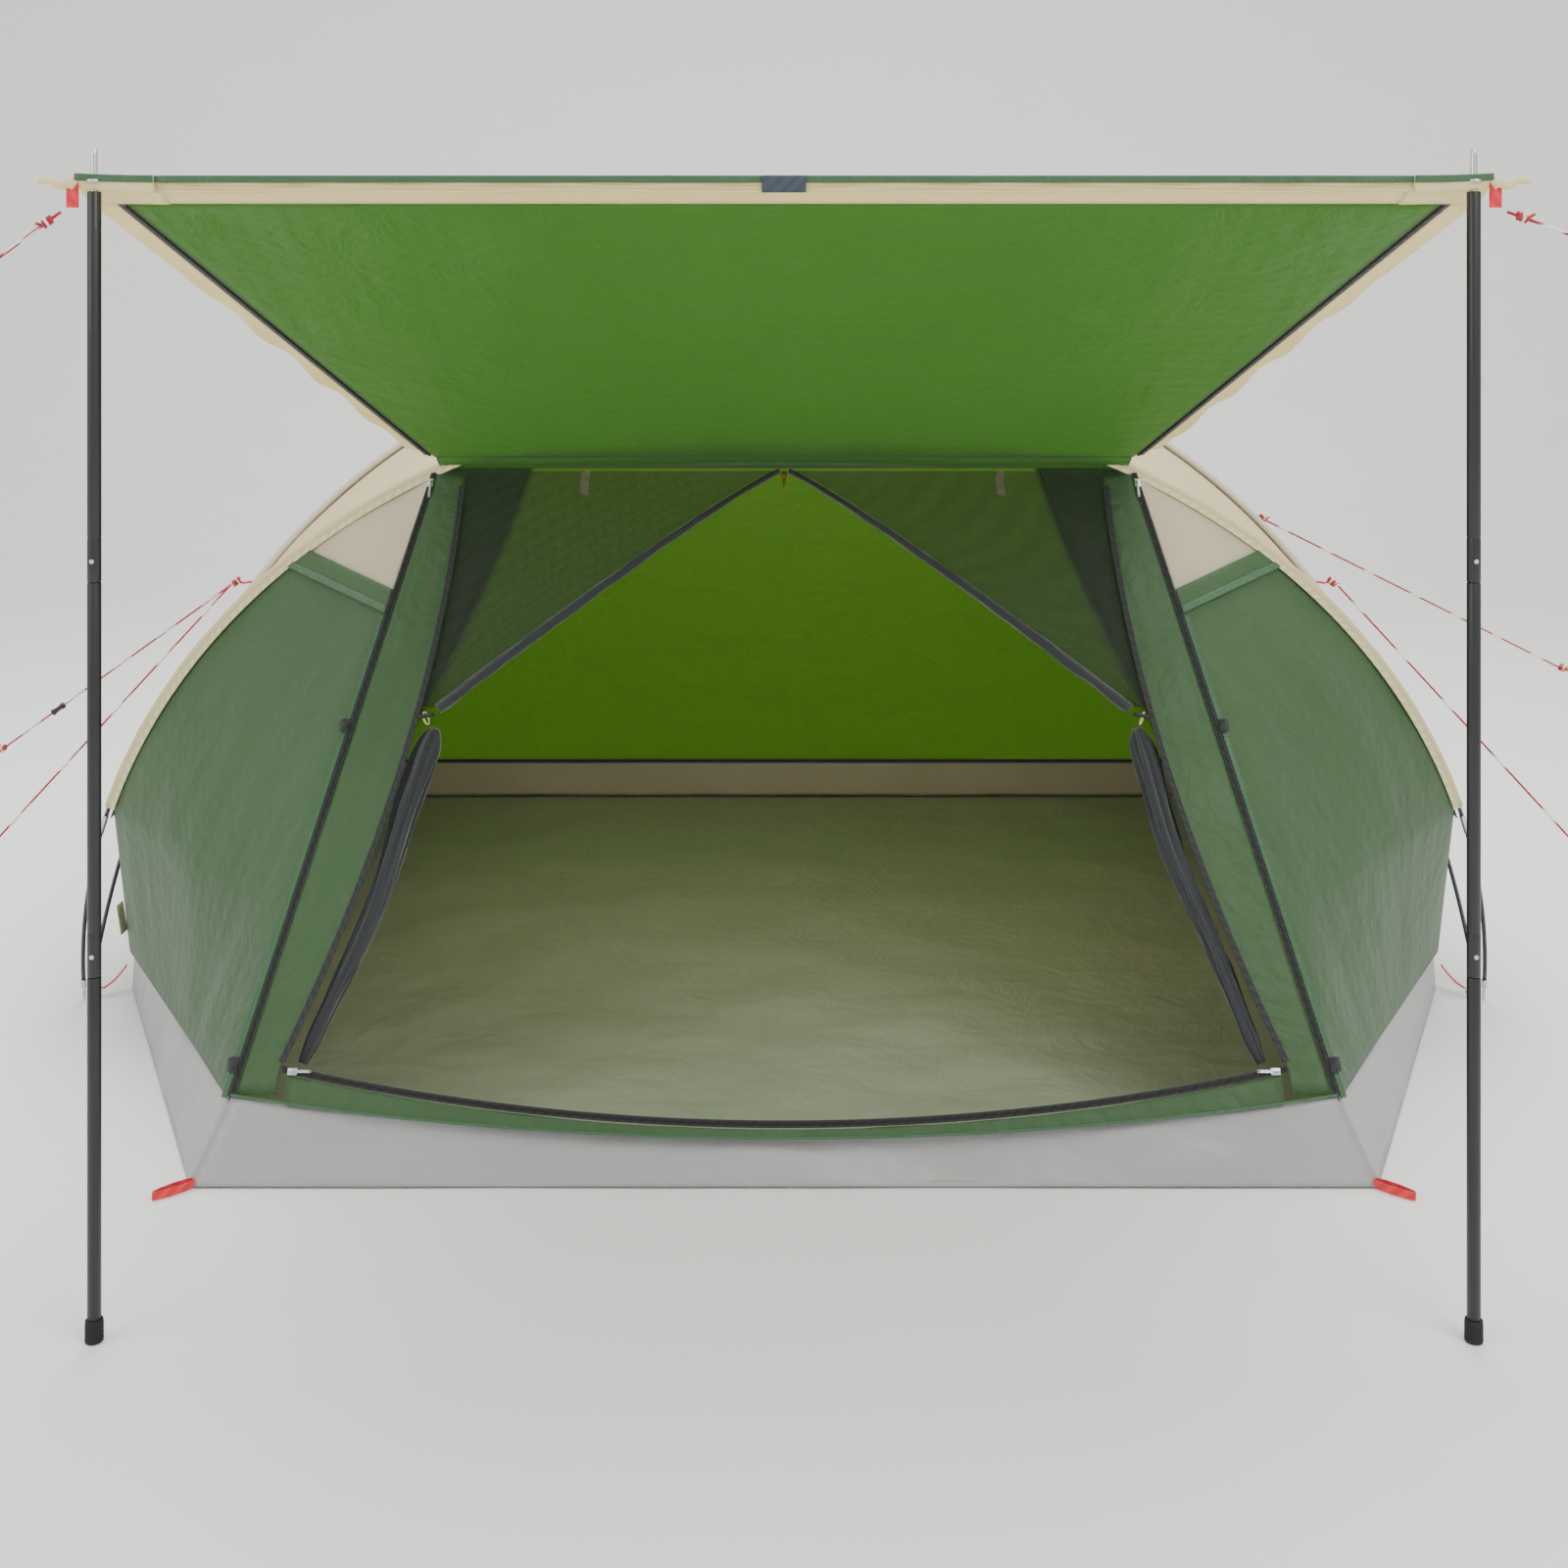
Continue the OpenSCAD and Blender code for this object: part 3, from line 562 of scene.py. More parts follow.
def declare_sheet(piece: bpy.types.Object) -> bpy.types.Object:
    """Works out the cloth area of piece, held between shares of the size of its UV map, which is in metres.

    Args:
        piece: a piece that cloth made.

    Returns:
        The piece.
    """
    spots = [corner.uv for corner in piece.data.uv_layers[0].data]
    flat = tuple(max(0.01, math.ceil(1000 * (max(p[k] for p in spots) - min(p[k] for p in spots))) / 1000)
                 for k in (0, 1))
    area = sum(face.area for face in piece.data.polygons)
    limits = (LEAST_AREA_SHARE * flat[0] * flat[1], MOST_AREA_SHARE * flat[0] * flat[1])
    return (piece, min(max(area, limits[0]), limits[1]))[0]


def mirrored(points: Callable[[float, float], Vector], side: int) -> Callable[[float, float], Vector]:
    """Right-hand shape as the shape of that side, with its face still outward."""
    if side > 0:
        return points

    def left(down: float, across: float) -> Vector:
        """The mirrored point, with the columns turned round."""
        place = points(down, 1 - across)
        return Vector((-place.x, place.y, place.z))

    return left


def mirrored_path(path: Sequence[Vector], side: int) -> list[Vector]:
    """Right-hand path on that side."""
    return [Vector((side * p.x, p.y, p.z)) for p in path]


def tube(name: str, path: Sequence[Vector], radius: Callable[[float], float] | float, finish: Finish,
         sides: int = 16, fold: Callable[[float, float], float] | None = None) -> bpy.types.Object:
    """Round rod along a path with a UV map in metres.

    Args:
        name: the piece's name.
        path: points of its middle.
        radius: radius in metres, or a function of the place from 0 to 1.
        finish: its finish.
        sides: points round it.
        fold: share added to the radius for a place along and an angle, for pleats.

    Returns:
        The piece, closed at both ends.
    """
    last = len(path) - 1
    points, lengths = [], [0.0]
    side = Vector((0, 0, 1)).cross(path[1] - path[0])
    side = side.normalized() if side.length > 1e-6 else Vector((1, 0, 0))
    for i, place in enumerate(path):
        ahead = (path[min(i + 1, last)] - path[max(i - 1, 0)]).normalized()
        side = (side - ahead * side.dot(ahead)).normalized()
        up = ahead.cross(side)
        share = i / last
        size = radius(share) if callable(radius) else radius
        for k in range(sides):
            turn = 2 * math.pi * k / sides
            reach = size * (1 + (fold(share, turn) if fold else 0))
            points.append(place + (side * math.cos(turn) + up * math.sin(turn)) * reach)
        if i:
            lengths.append(lengths[-1] + (place - path[i - 1]).length)
    faces = [(i * sides + k, i * sides + (k + 1) % sides, (i + 1) * sides + (k + 1) % sides,
              (i + 1) * sides + k) for i in range(last) for k in range(sides)]
    faces += [tuple(range(sides - 1, -1, -1)), tuple(last * sides + k for k in range(sides))]
    piece = mesh_object(name, points, faces, finish)
    layer = piece.data.uv_layers.new(name="metres")
    for face in piece.data.polygons:
        for corner in face.loop_indices:
            i, k = divmod(piece.data.loops[corner].vertex_index, sides)
            if k == 0 and any(piece.data.loops[c].vertex_index % sides == sides - 1
                              for c in face.loop_indices):
                k = sides
            layer.data[corner].uv = (0.03 * k / sides, lengths[i])
    return piece


def ribbon(name: str, path: Sequence[Vector], width: float, facing: Vector | Callable[[float], Vector],
           finish: Finish, thick: float = 0.0012, stitched: bool = False) -> bpy.types.Object:
    """Flat tape along a path, with a row of stitches near each edge where it is stitched.

    Args:
        name: the piece's name.
        path: points of its middle.
        width: its width.
        facing: the way its face looks, or a function of the place from 0 to 1.
        finish: its finish.
        thick: its thickness.
        stitched: whether stitches show.

    Returns:
        The piece.
    """
    last = len(path) - 1

    def frame_at(i: int) -> tuple[Vector, Vector, Vector]:
        """Middle, sideways and outward directions at a point."""
        ahead = (path[min(i + 1, last)] - path[max(i - 1, 0)]).normalized()
        out = facing(i / last) if callable(facing) else facing
        sideways = ahead.cross(out).normalized()
        return path[i], sideways, sideways.cross(ahead)

    points, faces, lengths = [], [], [0.0]
    profile = [(-0.5, 0.0), (-0.46, 1.0), (0.46, 1.0), (0.5, 0.0)]
    for i in range(last + 1):
        place, sideways, out = frame_at(i)
        points += [place + sideways * (width * a) + out * (thick * b) for a, b in profile]
        if i:
            lengths.append(lengths[-1] + (path[i] - path[i - 1]).length)
    for i in range(last):
        for k in range(4):
            faces.append((i * 4 + k, (i + 1) * 4 + k, (i + 1) * 4 + (k + 1) % 4, i * 4 + (k + 1) % 4))
    faces += [(0, 1, 2, 3), tuple(last * 4 + k for k in (3, 2, 1, 0))]
    if stitched:
        pitch = 0.009
        for row in (-0.36, 0.36):
            for n in range(int(lengths[-1] / pitch)):
                far = (n + 0.5) * pitch
                i = max(k for k in range(last + 1) if lengths[k] <= far)
                i = min(i, last - 1)
                share = (far - lengths[i]) / max(1e-6, lengths[i + 1] - lengths[i])
                _, sideways, out = frame_at(i)
                ahead = (path[i + 1] - path[i]).normalized()
                middle = mix(path[i], path[i + 1], share) + sideways * (width * row) + out * (thick + 0.0002)
                start = len(points)
                points += [middle + ahead * a + sideways * b + out * c
                           for a, b, c in ((-0.0028, -0.0006, 0), (0.0028, -0.0006, 0), (0.0028, 0.0006, 0),
                                           (-0.0028, 0.0006, 0), (0, 0, 0.0007))]
                faces += [(start, start + 1, start + 4), (start + 1, start + 2, start + 4),
                          (start + 2, start + 3, start + 4), (start + 3, start, start + 4)]
    piece = mesh_object(name, points, faces, finish, smooth=False)
    layer = piece.data.uv_layers.new(name="metres")
    for loop in piece.data.loops:
        index = loop.vertex_index
        i, k = divmod(index, 4) if index < (last + 1) * 4 else (0, 0)
        layer.data[loop.index].uv = (width * profile[k][0], lengths[i])
    return piece


def join(name: str, pieces: Sequence[bpy.types.Object]) -> bpy.types.Object:
    """The pieces as one object of that name."""
    for other in bpy.context.selected_objects:
        other.select_set(False)
    for piece in pieces:
        piece.select_set(True)
    bpy.context.view_layer.objects.active = pieces[0]
    bpy.ops.object.join()
    pieces[0].name = name
    pieces[0].select_set(False)
    return pieces[0]


def block(name: str, at: Vector, size: Point, finish: Finish, turn: float = 0.0,
          rim: float = 0.0008) -> bpy.types.Object:
    """Small moulded or stamped piece with rounded edges.

    Args:
        name: the piece's name.
        at: its middle.
        size: its size along X, Y and Z.
        finish: its finish.
        turn: rotation about X in degrees.
        rim: radius of its edges.

    Returns:
        The piece.
    """
    half = [s / 2 for s in size]
    corners = [Vector((x * half[0], y * half[1], z * half[2]))
               for z in (-1, 1) for x, y in ((-1, -1), (1, -1), (1, 1), (-1, 1))]
    angle = math.radians(turn)
    spun = [Vector((c.x, c.y * math.cos(angle) - c.z * math.sin(angle),
                    c.y * math.sin(angle) + c.z * math.cos(angle))) + at for c in corners]
    faces = [(3, 2, 1, 0), (4, 5, 6, 7), (0, 1, 5, 4), (1, 2, 6, 5), (2, 3, 7, 6), (3, 0, 4, 7)]
    piece = mesh_object(name, spun, faces, finish, smooth=True)
    bevel = piece.modifiers.new("edges", "BEVEL")
    bevel.width = rim
    bevel.segments = 3
    return piece


def ring_path(middle: Vector, radius: float, first: Vector, second: Vector, turns: float = 1.0,
              rise: Vector = Vector((0, 0, 0)), steps: int = 28) -> list[Vector]:
    """Points of a ring or coil in the plane of first and second."""
    return [middle + first * (radius * math.cos(2 * math.pi * turns * k / steps))
            + second * (radius * math.sin(2 * math.pi * turns * k / steps)) + rise * (k / steps)
            for k in range(steps + 1)]


def teeth(name: str, path: Sequence[Vector], facing: Vector, finish: Finish) -> bpy.types.Object:
    """Zip coil along a path, its turns drawn 5 mm apart because real ones don't show."""
    points: list[Vector] = []
    for i in range(len(path) - 1):
        count = max(1, int((path[i + 1] - path[i]).length / 0.0025))
        points += [mix(path[i], path[i + 1], n / count) for n in range(count)]
    ahead = (path[-1] - path[0]).normalized()
    sideways = ahead.cross(facing).normalized()
    coil = [p + sideways * (0.0022 if n % 2 else -0.0022) + facing * 0.0006 for n, p in enumerate(points)]
    return tube(name, coil, 0.0011, finish, sides=5)


def length_of(path: Sequence[Vector]) -> float:
    """Length of a path in metres."""
    return sum((b - a).length for a, b in zip(path, path[1:]))


def settle(piece: bpy.types.Object, body: str, slot: str, *nodes: str) -> bpy.types.Object:
    """The piece rides on body and stands for those nodes."""
    if nodes:
        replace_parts(piece, *nodes)
    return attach(piece, body)


# ---------------------------------------------------------------- ropes and camera, made first
@dataclass
class Ropes:
    """Guy ropes, the ropes from the awning's corners, and the pegs, knots and slider on them."""

    rope_r: float = 0.0022
    knot_r: float = 0.011
    guy_z: float = 0.820
    high_guy_z: float = 0.960
    peg_foot: Vector = field(default_factory=lambda: Vector((1.930, -0.050, 0)))
    peg_h: float = 0.062
    loop_r: float = 0.024

    def knot_at(self) -> Vector:
        """Middle of the right-hand knot beside the rear hoop."""
        return SIZE.rear_hoop(SIZE.rear_angle(self.guy_z)) + Vector((0.046, -0.006, 0))

    def taut(self, start: Vector, end: Vector) -> list[Vector]:
        """Straight rope that ends in a tied loop, on the route of its solid."""
        ahead = (end - start).normalized()
        side = ahead.cross(Vector((0, 0, 1))).normalized()
        middle = end + self.loop_r * ahead
        loop = []
        for k in range(1, 17):
            turn = 2 * math.pi * k / 16
            loop.append(middle + self.loop_r * (-math.cos(turn) * ahead + math.sin(turn) * side)
                        + Vector((0, 0, 0.4 * self.rope_r * k)))
        return [mix(start, end, k / 12) for k in range(13)] + loop

    def rope(self, name: str, path: Sequence[Vector], finish: Finish) -> bpy.types.Object:
        """Braided rope along a path: a round tube with the strands' shallow twist."""
        def strands(share: float, turn: float) -> float:
            """Rise of the strands as they twist round the rope."""
            return 0.09 * math.sin(4 * turn + share * 400)

        fine: list[Vector] = []
        for start, end in zip(path, path[1:]):
            count = max(1, round((end - start).length / 0.008))
            fine += [mix(start, end, k / count) for k in range(count)]
        return tube(name, fine + [path[-1]], self.rope_r, finish, 10, strands)

    def wraps(self, name: str, middle: Vector, ahead: Vector, size: float, finish: Finish,
              turns: int = 4) -> bpy.types.Object:
        """Knot as tight turns of rope round the line it is tied on."""
        ahead = ahead.normalized()
        side = ahead.cross(Vector((0.3, 0.2, 1))).normalized()
        up = side.cross(ahead)
        path = ring_path(middle - ahead * size, size * 0.62, side, up, turns, ahead * (2 * size), 20 * turns)
        tail = path[-1] + up * size * 1.2 + ahead * size * 0.8
        return tube(name, path + [mix(path[-1], tail, 0.5), tail], self.rope_r, finish, 8)

    def declare(self, path: Sequence[Vector],
                with_pieces: Sequence[bpy.types.Object]) -> None:
        """Works out the rope's start, length and points along path, and keeps none of them."""
        tuple(path[0])
        round(length_of(path), 3)
        [tuple(p) for p in path]

    def peg(self, side_name: str) -> bpy.types.Object:
        """Ground peg of bent wire, its upper end hooked over."""
        side = SIDES[side_name]
        foot = self.peg_foot
        bend = [foot + Vector((0, 0, z)) for z in (0.0, 0.02, 0.04, self.peg_h - 0.010)]
        bend += [foot + Vector((-0.006 * (1 - math.cos(a)), 0, self.peg_h - 0.010 + 0.0065 * math.sin(a)))
                 for a in (0.4, 0.8, 1.2, 1.57)]
        bend += [foot + Vector((-0.010, 0, self.peg_h - 0.0036)),
                 foot + Vector((-0.0135, 0, self.peg_h - 0.006))]
        piece = tube(f"peg_{side_name}", mirrored_path(bend, side), 0.0033, Finish.BRIGHT, 14)
        return settle(piece, "tent", "bright_metal", "pegs")

    def front_guy(self, side_name: str) -> None:
        """Thick rope from the rear hoop forward to its peg."""
        start = self.knot_at() + Vector((self.knot_r + 0.003, -0.008, -0.009))
        end = self.peg_foot + Vector((-0.007, 0.003, self.peg_h - 0.010))
        path = mirrored_path([mix(start, end, k / 20) for k in range(21)], SIDES[side_name])
        piece = self.rope(f"front_guy_{side_name}", path, Finish.ROPE)
        settle(piece, "tent", "red_rope", f"guy_front_{side_name}")
        knot = self.wraps(f"peg_hitch_{side_name}", path[-1] - (path[-1] - path[-2]).normalized() * 0.02,
                          path[-1] - path[-2], 0.007, Finish.ROPE)
        settle(knot, "tent", "red_rope")
        self.declare(path, [self.peg(side_name), knot])

    def rear_guy(self, side_name: str) -> None:
        """Thin rope back from the hoop to a tied loop outside the view."""
        if side_name == "left":
            knot = self.knot_at()
            start = Vector((-knot.x - self.knot_r - 0.004, knot.y + 0.005, knot.z - 0.008))
            end = Vector((-1.930, 0.594, 0.382))
        else:
            start = SIZE.rear_hoop(SIZE.rear_angle(self.high_guy_z)) + Vector((0.022, 0.018, -0.002))
            end = Vector((2.060, 0.905, 0.521))
        path = self.taut(start, end)
        finish = Finish.ROPE_ORANGE if side_name == "right" else Finish.ROPE
        piece = settle(self.rope(f"rear_guy_{side_name}", path, finish), "tent", "red_rope",
                       f"guy_rear_{side_name}")
        ahead = end - start
        extra = [settle(self.wraps(f"rear_guy_knot_{side_name}", end - ahead.normalized() * 0.01, ahead,
                                   0.008, finish), "tent", "red_rope")]
        if side_name == "left":
            extra.append(self.slider(mix(start, end, 0.72), ahead.normalized()))
        self.declare(path, extra)

    def slider(self, at: Vector, ahead: Vector) -> bpy.types.Object:
        """Nylon slider that tightens the rope, waisted in its middle."""
        path = [at + ahead * (0.034 * k / 12) for k in range(13)]

        def waist(share: float) -> float:
            """Radius along the slider."""
            return 0.0056 + 0.0022 * abs(2 * share - 1) ** 2

        piece = tube("rope_slider", path, waist, Finish.NYLON, 20)
        return settle(piece, "tent", "black_plastic", "tensioner")

    def corner_rope(self, side_name: str) -> None:
        """Rope from the awning's corner to a tied loop outside the view."""
        side = SIDES[side_name]
        edge = SIZE.awning_point(0, SIZE.awning_len, AWNING_LIFT)
        x = SIZE.awning_edge(SIZE.awning_len) + 0.036 + 0.014
        start = Vector((side * x, edge.y - 0.009, edge.z - 0.044))
        end = Vector((-1.142, edge.y - 0.060, edge.z - 0.162)) if side < 0 else \
            Vector((1.160, edge.y - 0.060, edge.z - 0.110))
        path = self.taut(start, end)
        body = f"pole_{side_name}"
        piece = settle(self.rope(f"awning_rope_{side_name}", path, Finish.ROPE), body, "red_rope",
                       f"corner_rope_{side_name}")
        ahead = end - start
        knots = [settle(self.wraps(f"awning_rope_{which}_knot_{side_name}", at, ahead, 0.0075, Finish.ROPE),
                        body, "red_rope")
                 for which, at in (("near", mix(start, end, 0.12)), ("far", mix(start, end, 0.95)))]
        self.declare(path, knots)

    def hoop_knots(self) -> None:
        """Knots and loops that hold the guy ropes on the rear hoop."""
        for side_name, side in SIDES.items():
            knot = self.knot_at()
            knot.x *= side
            hoop = SIZE.rear_hoop(SIZE.rear_angle(self.guy_z)) + Vector((SIZE.sleeve_r + 0.002, -0.002, 0))
            hoop.x *= side
            tied = self.wraps(f"guy_knot_{side_name}", knot, Vector((side, -0.3, -0.8)), 0.010,
                              Finish.ROPE, 5)
            settle(tied, "tent", "red_rope", "guy_loops")
            loop = tube(f"guy_loop_{side_name}", [hoop, mix(hoop, knot, 0.5) - Vector((0, 0, 0.003)), knot],
                        0.0026, Finish.RED_TAPE, 10)
            settle(loop, "tent", "red_rope")
        start = SIZE.rear_hoop(SIZE.rear_angle(self.high_guy_z))
        tie = self.wraps("rear_guy_tie_right", start + Vector((0.018, 0.014, 0.002)), Vector((1, 0.5, -0.6)),
                         0.008, Finish.ROPE_ORANGE)
        settle(tie, "tent", "red_rope", "guy_loops")

    def build(self) -> None:
        """Makes every rope and what is tied on it."""
        for side_name in SIDES:
            self.front_guy(side_name)
            self.rear_guy(side_name)
            self.corner_rope(side_name)
        self.hoop_knots()
        log.info("ropes built")


CAMERA_LENS = 40.24
CAMERA_SENSOR = 36
CAMERA_SHIFT = -0.2875
CAMERA_DISTANCE = 3.724
CAMERA_HEIGHT = 1.41


def add_camera() -> None:
    """Level camera at chest height, in front of the door."""
    data = bpy.data.cameras.new("camera")
    data.lens = CAMERA_LENS
    data.sensor_width = CAMERA_SENSOR
    data.shift_y = CAMERA_SHIFT
    camera = bpy.data.objects.new("camera", data)
    camera.location = (0, -CAMERA_DISTANCE, CAMERA_HEIGHT)
    camera.rotation_euler = (math.radians(90), 0, 0)
    bpy.context.scene.collection.objects.link(camera)
    bpy.context.scene.camera = camera


# ---------------------------------------------------------------- canopy
@dataclass
class Canopy:
    """Cloth between the hoops, the door and the floor."""

    vent_end: float = 0.25
    wall_half: float = 0.405

    def gore_inner(self, down: float) -> Vector:
        """Edge of the front gore beside the door zip."""
        z = SIZE.hinge_z + (SIZE.tub_h - SIZE.hinge_z) * down
        return SIZE.door_point(SIZE.zip_x(z) + 0.007, z)

    def gore_outer(self, down: float) -> Vector:
        """Edge of the front gore on the hoop, and below the strip on the body."""
        low = SIZE.front_angle(SIZE.strip_end)
        if down < 0.75:
            top = SIZE.front_angle(SIZE.hinge_z)
            return SIZE.front_hoop(top + (low - top) * down / 0.75, SIZE.inset)
        seam = Vector((SIZE.side_x - 0.006, SIZE.side_y - 0.028, SIZE.side_seam))
        return mix(SIZE.front_hoop(low, SIZE.inset), seam, (down - 0.75) * 4)

    def gore(self, first: float, last: float, lift: float = 0.0) -> Callable[[float, float], Vector]:
        """Shape of the front gore between two heights."""
        def shape(down: float, across: float) -> Vector:
            """Point of the gore."""
            place = first + (last - first) * down
            return mix(self.gore_inner(place), self.gore_outer(place), across) + lift * SIZE.door_out
        return shape

    def wall_edge(self, down: float) -> Vector:
        """Seam between the rear wall and the right rear gore."""
        start = math.degrees(math.acos(self.wall_half ** (SIZE.rear_power / 2)))
        top = SIZE.rear_hoop(start, SIZE.inset)
        seam = Vector((SIZE.back_half - 0.012, SIZE.floor_back - 0.012, SIZE.back_seam))
        upper = top + Vector((0.020, 0.202, -0.263))
        lower = seam + Vector((-0.188, -0.258, 0.265))
        keep = 1 - down
        return (keep ** 3 * top + 3 * down * keep ** 2 * upper + 3 * down ** 2 * keep * lower
                + down ** 3 * (seam + Vector((0, 0, 0.004))))

    def rear_outer(self, down: float) -> Vector:
        """Edge of the rear gore on the rear hoop, and below the strip on the body."""
        start = math.degrees(math.acos(self.wall_half ** (SIZE.rear_power / 2)))
        low = SIZE.rear_angle(SIZE.strip_end)
        if down < 0.75:
            return SIZE.rear_hoop(start + (low - start) * down / 0.75, SIZE.inset)
        seam = Vector((SIZE.side_x - 0.006, SIZE.side_y + 0.028, SIZE.side_seam))
        return mix(SIZE.rear_hoop(low, SIZE.inset), seam, (down - 0.75) * 4)

    def front_gores(self) -> None:
        """Front gores with their vents, hemmed flaps and edge binding."""
        for side_name, side in SIDES.items():
            gore = cloth(f"gore_{side_name}", mirrored(self.gore(self.vent_end, 0.998), side), Finish.GREEN,
                         60, 52, Wrinkle(0.011, 4.6, 2.6, 3.0 + side, 0.06))
            settle(gore, "tent", "green_cloth", f"front_gore_{side_name}")
            declare_sheet(gore)
            vent = cloth(f"vent_{side_name}", mirrored(self.gore(0.012, self.vent_end + 0.006, 0.0006), side),
                         Finish.VENT, 20, 24, Wrinkle(0.003, 5, 6, 7.0 + side))
            settle(vent, "tent", "vent_cloth", "vents")
            declare_sheet(vent)
            for which, first, last, lift in (("flap", 0.222, 0.262, 0.0065),
                                             ("flap_hem", 0.252, 0.264, 0.0085)):
                flap = cloth(f"vent_{which}_{side_name}", mirrored(self.gore(first, last, lift), side),
                             Finish.GREEN if which == "flap" else Finish.DARK, 4, 30,
                             Wrinkle(0.0015, 9, 4, side + 11, 0.2))
                settle(flap, "tent", "dark_trim")
                declare_sheet(flap)
            seam = [self.gore_inner(t / 30) + SIZE.door_out * 0.0012 + Vector((0.005, 0, 0))
                    for t in range(8, 31)]
            edge = ribbon(f"gore_edge_{side_name}", mirrored_path(seam, side), 0.010, SIZE.door_out,
                          Finish.DARK, stitched=True)
            settle(edge, "tent", "dark_trim")

    def strip(self) -> None:
        """Cream strip over the hoops, its sewn edges and its dark hems."""
        low = SIZE.strip_end + 0.003
        low_front, low_rear = SIZE.front_angle(low), SIZE.rear_angle(low)

        def shape(down: float, across: float) -> Vector:
            """Point of the strip: down runs from the right foot to the left, across from rear to front."""
            front = SIZE.front_hoop(low_front + (180 - 2 * low_front) * down, SIZE.inset)
            rear = SIZE.rear_hoop(low_rear + (180 - 2 * low_rear) * down, SIZE.inset)
            share = 0.99 - 0.98 * across
            sag = 0.040 * share * (1 - share) * math.sin(math.pi * down)
            return mix(front, rear, share) - Vector((0, 0, sag))

        strip = cloth("strip", shape, Finish.CREAM, 120, 40, Wrinkle(0.007, 4.0, 3.4, 21.0, 0.05))
        settle(strip, "tent", "cream_cloth", "roof_strip")
        declare_sheet(strip)
        for side_name, side in SIDES.items():
            def hem(down: float, across: float) -> Vector:
                """Point of the hem that gathers the strip's lower end."""
                z = SIZE.strip_end - 0.022 * down
                front = SIZE.front_hoop(SIZE.front_angle(z), SIZE.inset - 0.001)
                return mix(front, SIZE.rear_hoop(SIZE.rear_angle(z), SIZE.inset - 0.001),
                           0.01 + 0.98 * across)
            piece = cloth(f"strip_hem_{side_name}", mirrored(hem, side), Finish.DARK, 4, 24,
                          Wrinkle(0.001, 12, 5, 5.0 + side, 0.2))
            settle(piece, "tent", "dark_trim", "strip_hems")
            declare_sheet(piece)

    def rear(self) -> None:
        """Rear wall, rear gores, side panels and the panel above the door."""
        crown = SIZE.rear_hoop(90, SIZE.inset) - self.wall_edge(0)

        def wall(down: float, across: float) -> Vector:
            """Point of the rear wall."""
            side = 1 - 2 * across
            edge = self.wall_edge(down)
            rise = (1 - side * side) * (1 - down) ** 2
            return Vector((side * (edge.x + 0.001), edge.y + rise * crown.y, edge.z + rise * crown.z))

        # The rear wall takes the green taffeta with painted backlight, lighter than the rear gores beside it.
        piece = cloth("back_wall", wall, Finish.INNER, 60, 60, Wrinkle(0.012, 2.6, 3.6, 31.0, 0.06))
        settle(piece, "tent", "green_cloth", "rear_wall")
        declare_sheet(piece)
        for side_name, side in SIDES.items():
            def gore(down: float, across: float) -> Vector:
                """Point of the rear gore."""
                place = 0.02 + 0.976 * down
                return mix(self.rear_outer(place), self.wall_edge(place) + Vector((0.001, 0, 0)), across)

            def panel(down: float, across: float) -> Vector:
                """Point of the side panel under the strip."""
                z = SIZE.strip_end - 0.004
                front = SIZE.front_hoop(SIZE.front_angle(z), SIZE.inset + 0.002)
                rear = SIZE.rear_hoop(SIZE.rear_angle(z), SIZE.inset + 0.002)
                seam = Vector((SIZE.side_x - 0.007, SIZE.side_y, SIZE.side_seam + 0.002))
                return mix(mix(front, seam - Vector((0, 0.028, 0)), down),
                           mix(rear, seam + Vector((0, 0.028, 0)), down), across)

            rear_gore = cloth(f"back_gore_{side_name}", mirrored(gore, side), Finish.GREEN, 56, 44,
                              Wrinkle(0.010, 3.6, 3.0, 41.0 + side, 0.05))
            settle(rear_gore, "tent", "green_cloth", f"rear_gore_{side_name}")
            declare_sheet(rear_gore)
            side_panel = cloth(f"side_panel_{side_name}", mirrored(panel, side), Finish.GREEN, 16, 16,
                               Wrinkle(0.003, 5, 3, 51.0 + side, 0.15))
            settle(side_panel, "tent", "green_cloth", "side_panels")
            declare_sheet(side_panel)
            seam_path = mirrored_path([self.wall_edge(t / 40) + Vector((0.002, 0.003, 0.003))
                                       for t in range(1, 40)], side)
            welt = ribbon(f"back_seam_{side_name}", seam_path, 0.012,
                          Vector((side * 0.6, 0.7, 0.5)).normalized(), Finish.DARK, stitched=True)
            settle(welt, "tent", "dark_trim")

        first = SIZE.front_angle(SIZE.hinge_z) + 1.0

        def header(down: float, across: float) -> Vector:
            """Point of the panel above the door."""
            arc = SIZE.front_hoop(180 - first - (180 - 2 * first) * across, SIZE.inset)
            base = Vector((arc.x, SIZE.hinge_y - 0.001, SIZE.hinge_z))
            return mix(arc, base, down)

        piece = cloth("door_header", header, Finish.GREEN, 12, 40, Wrinkle(0.002, 5, 5, 61.0, 0.2))
        settle(piece, "tent", "green_cloth", "front_header")
        declare_sheet(piece)

    def blank_tag(self) -> None:
        """Cream label patch without print, sewn on the left side panel's lower corner."""
        place = Vector((-SIZE.side_x - 0.001, SIZE.side_y - 0.055, 0.145))

        def shape(down: float, across: float) -> Vector:
            """Point of the label."""
            return place + Vector((-0.010 * (1 - down), 0.030 - 0.036 * across, 0.055 - 0.062 * down))

        label = cloth("blank_label", shape, Finish.CREAM_TAPE, 6, 6, Wrinkle(0.001, 20, 20, 71.0), 0.0009)
        settle(label, "tent", "cream_cloth")
        declare_sheet(label)

    def build(self) -> None:
        """Makes the canopy's cloth."""
        self.front_gores()
        self.strip()
        self.rear()
        self.blank_tag()
        log.info("canopy built")


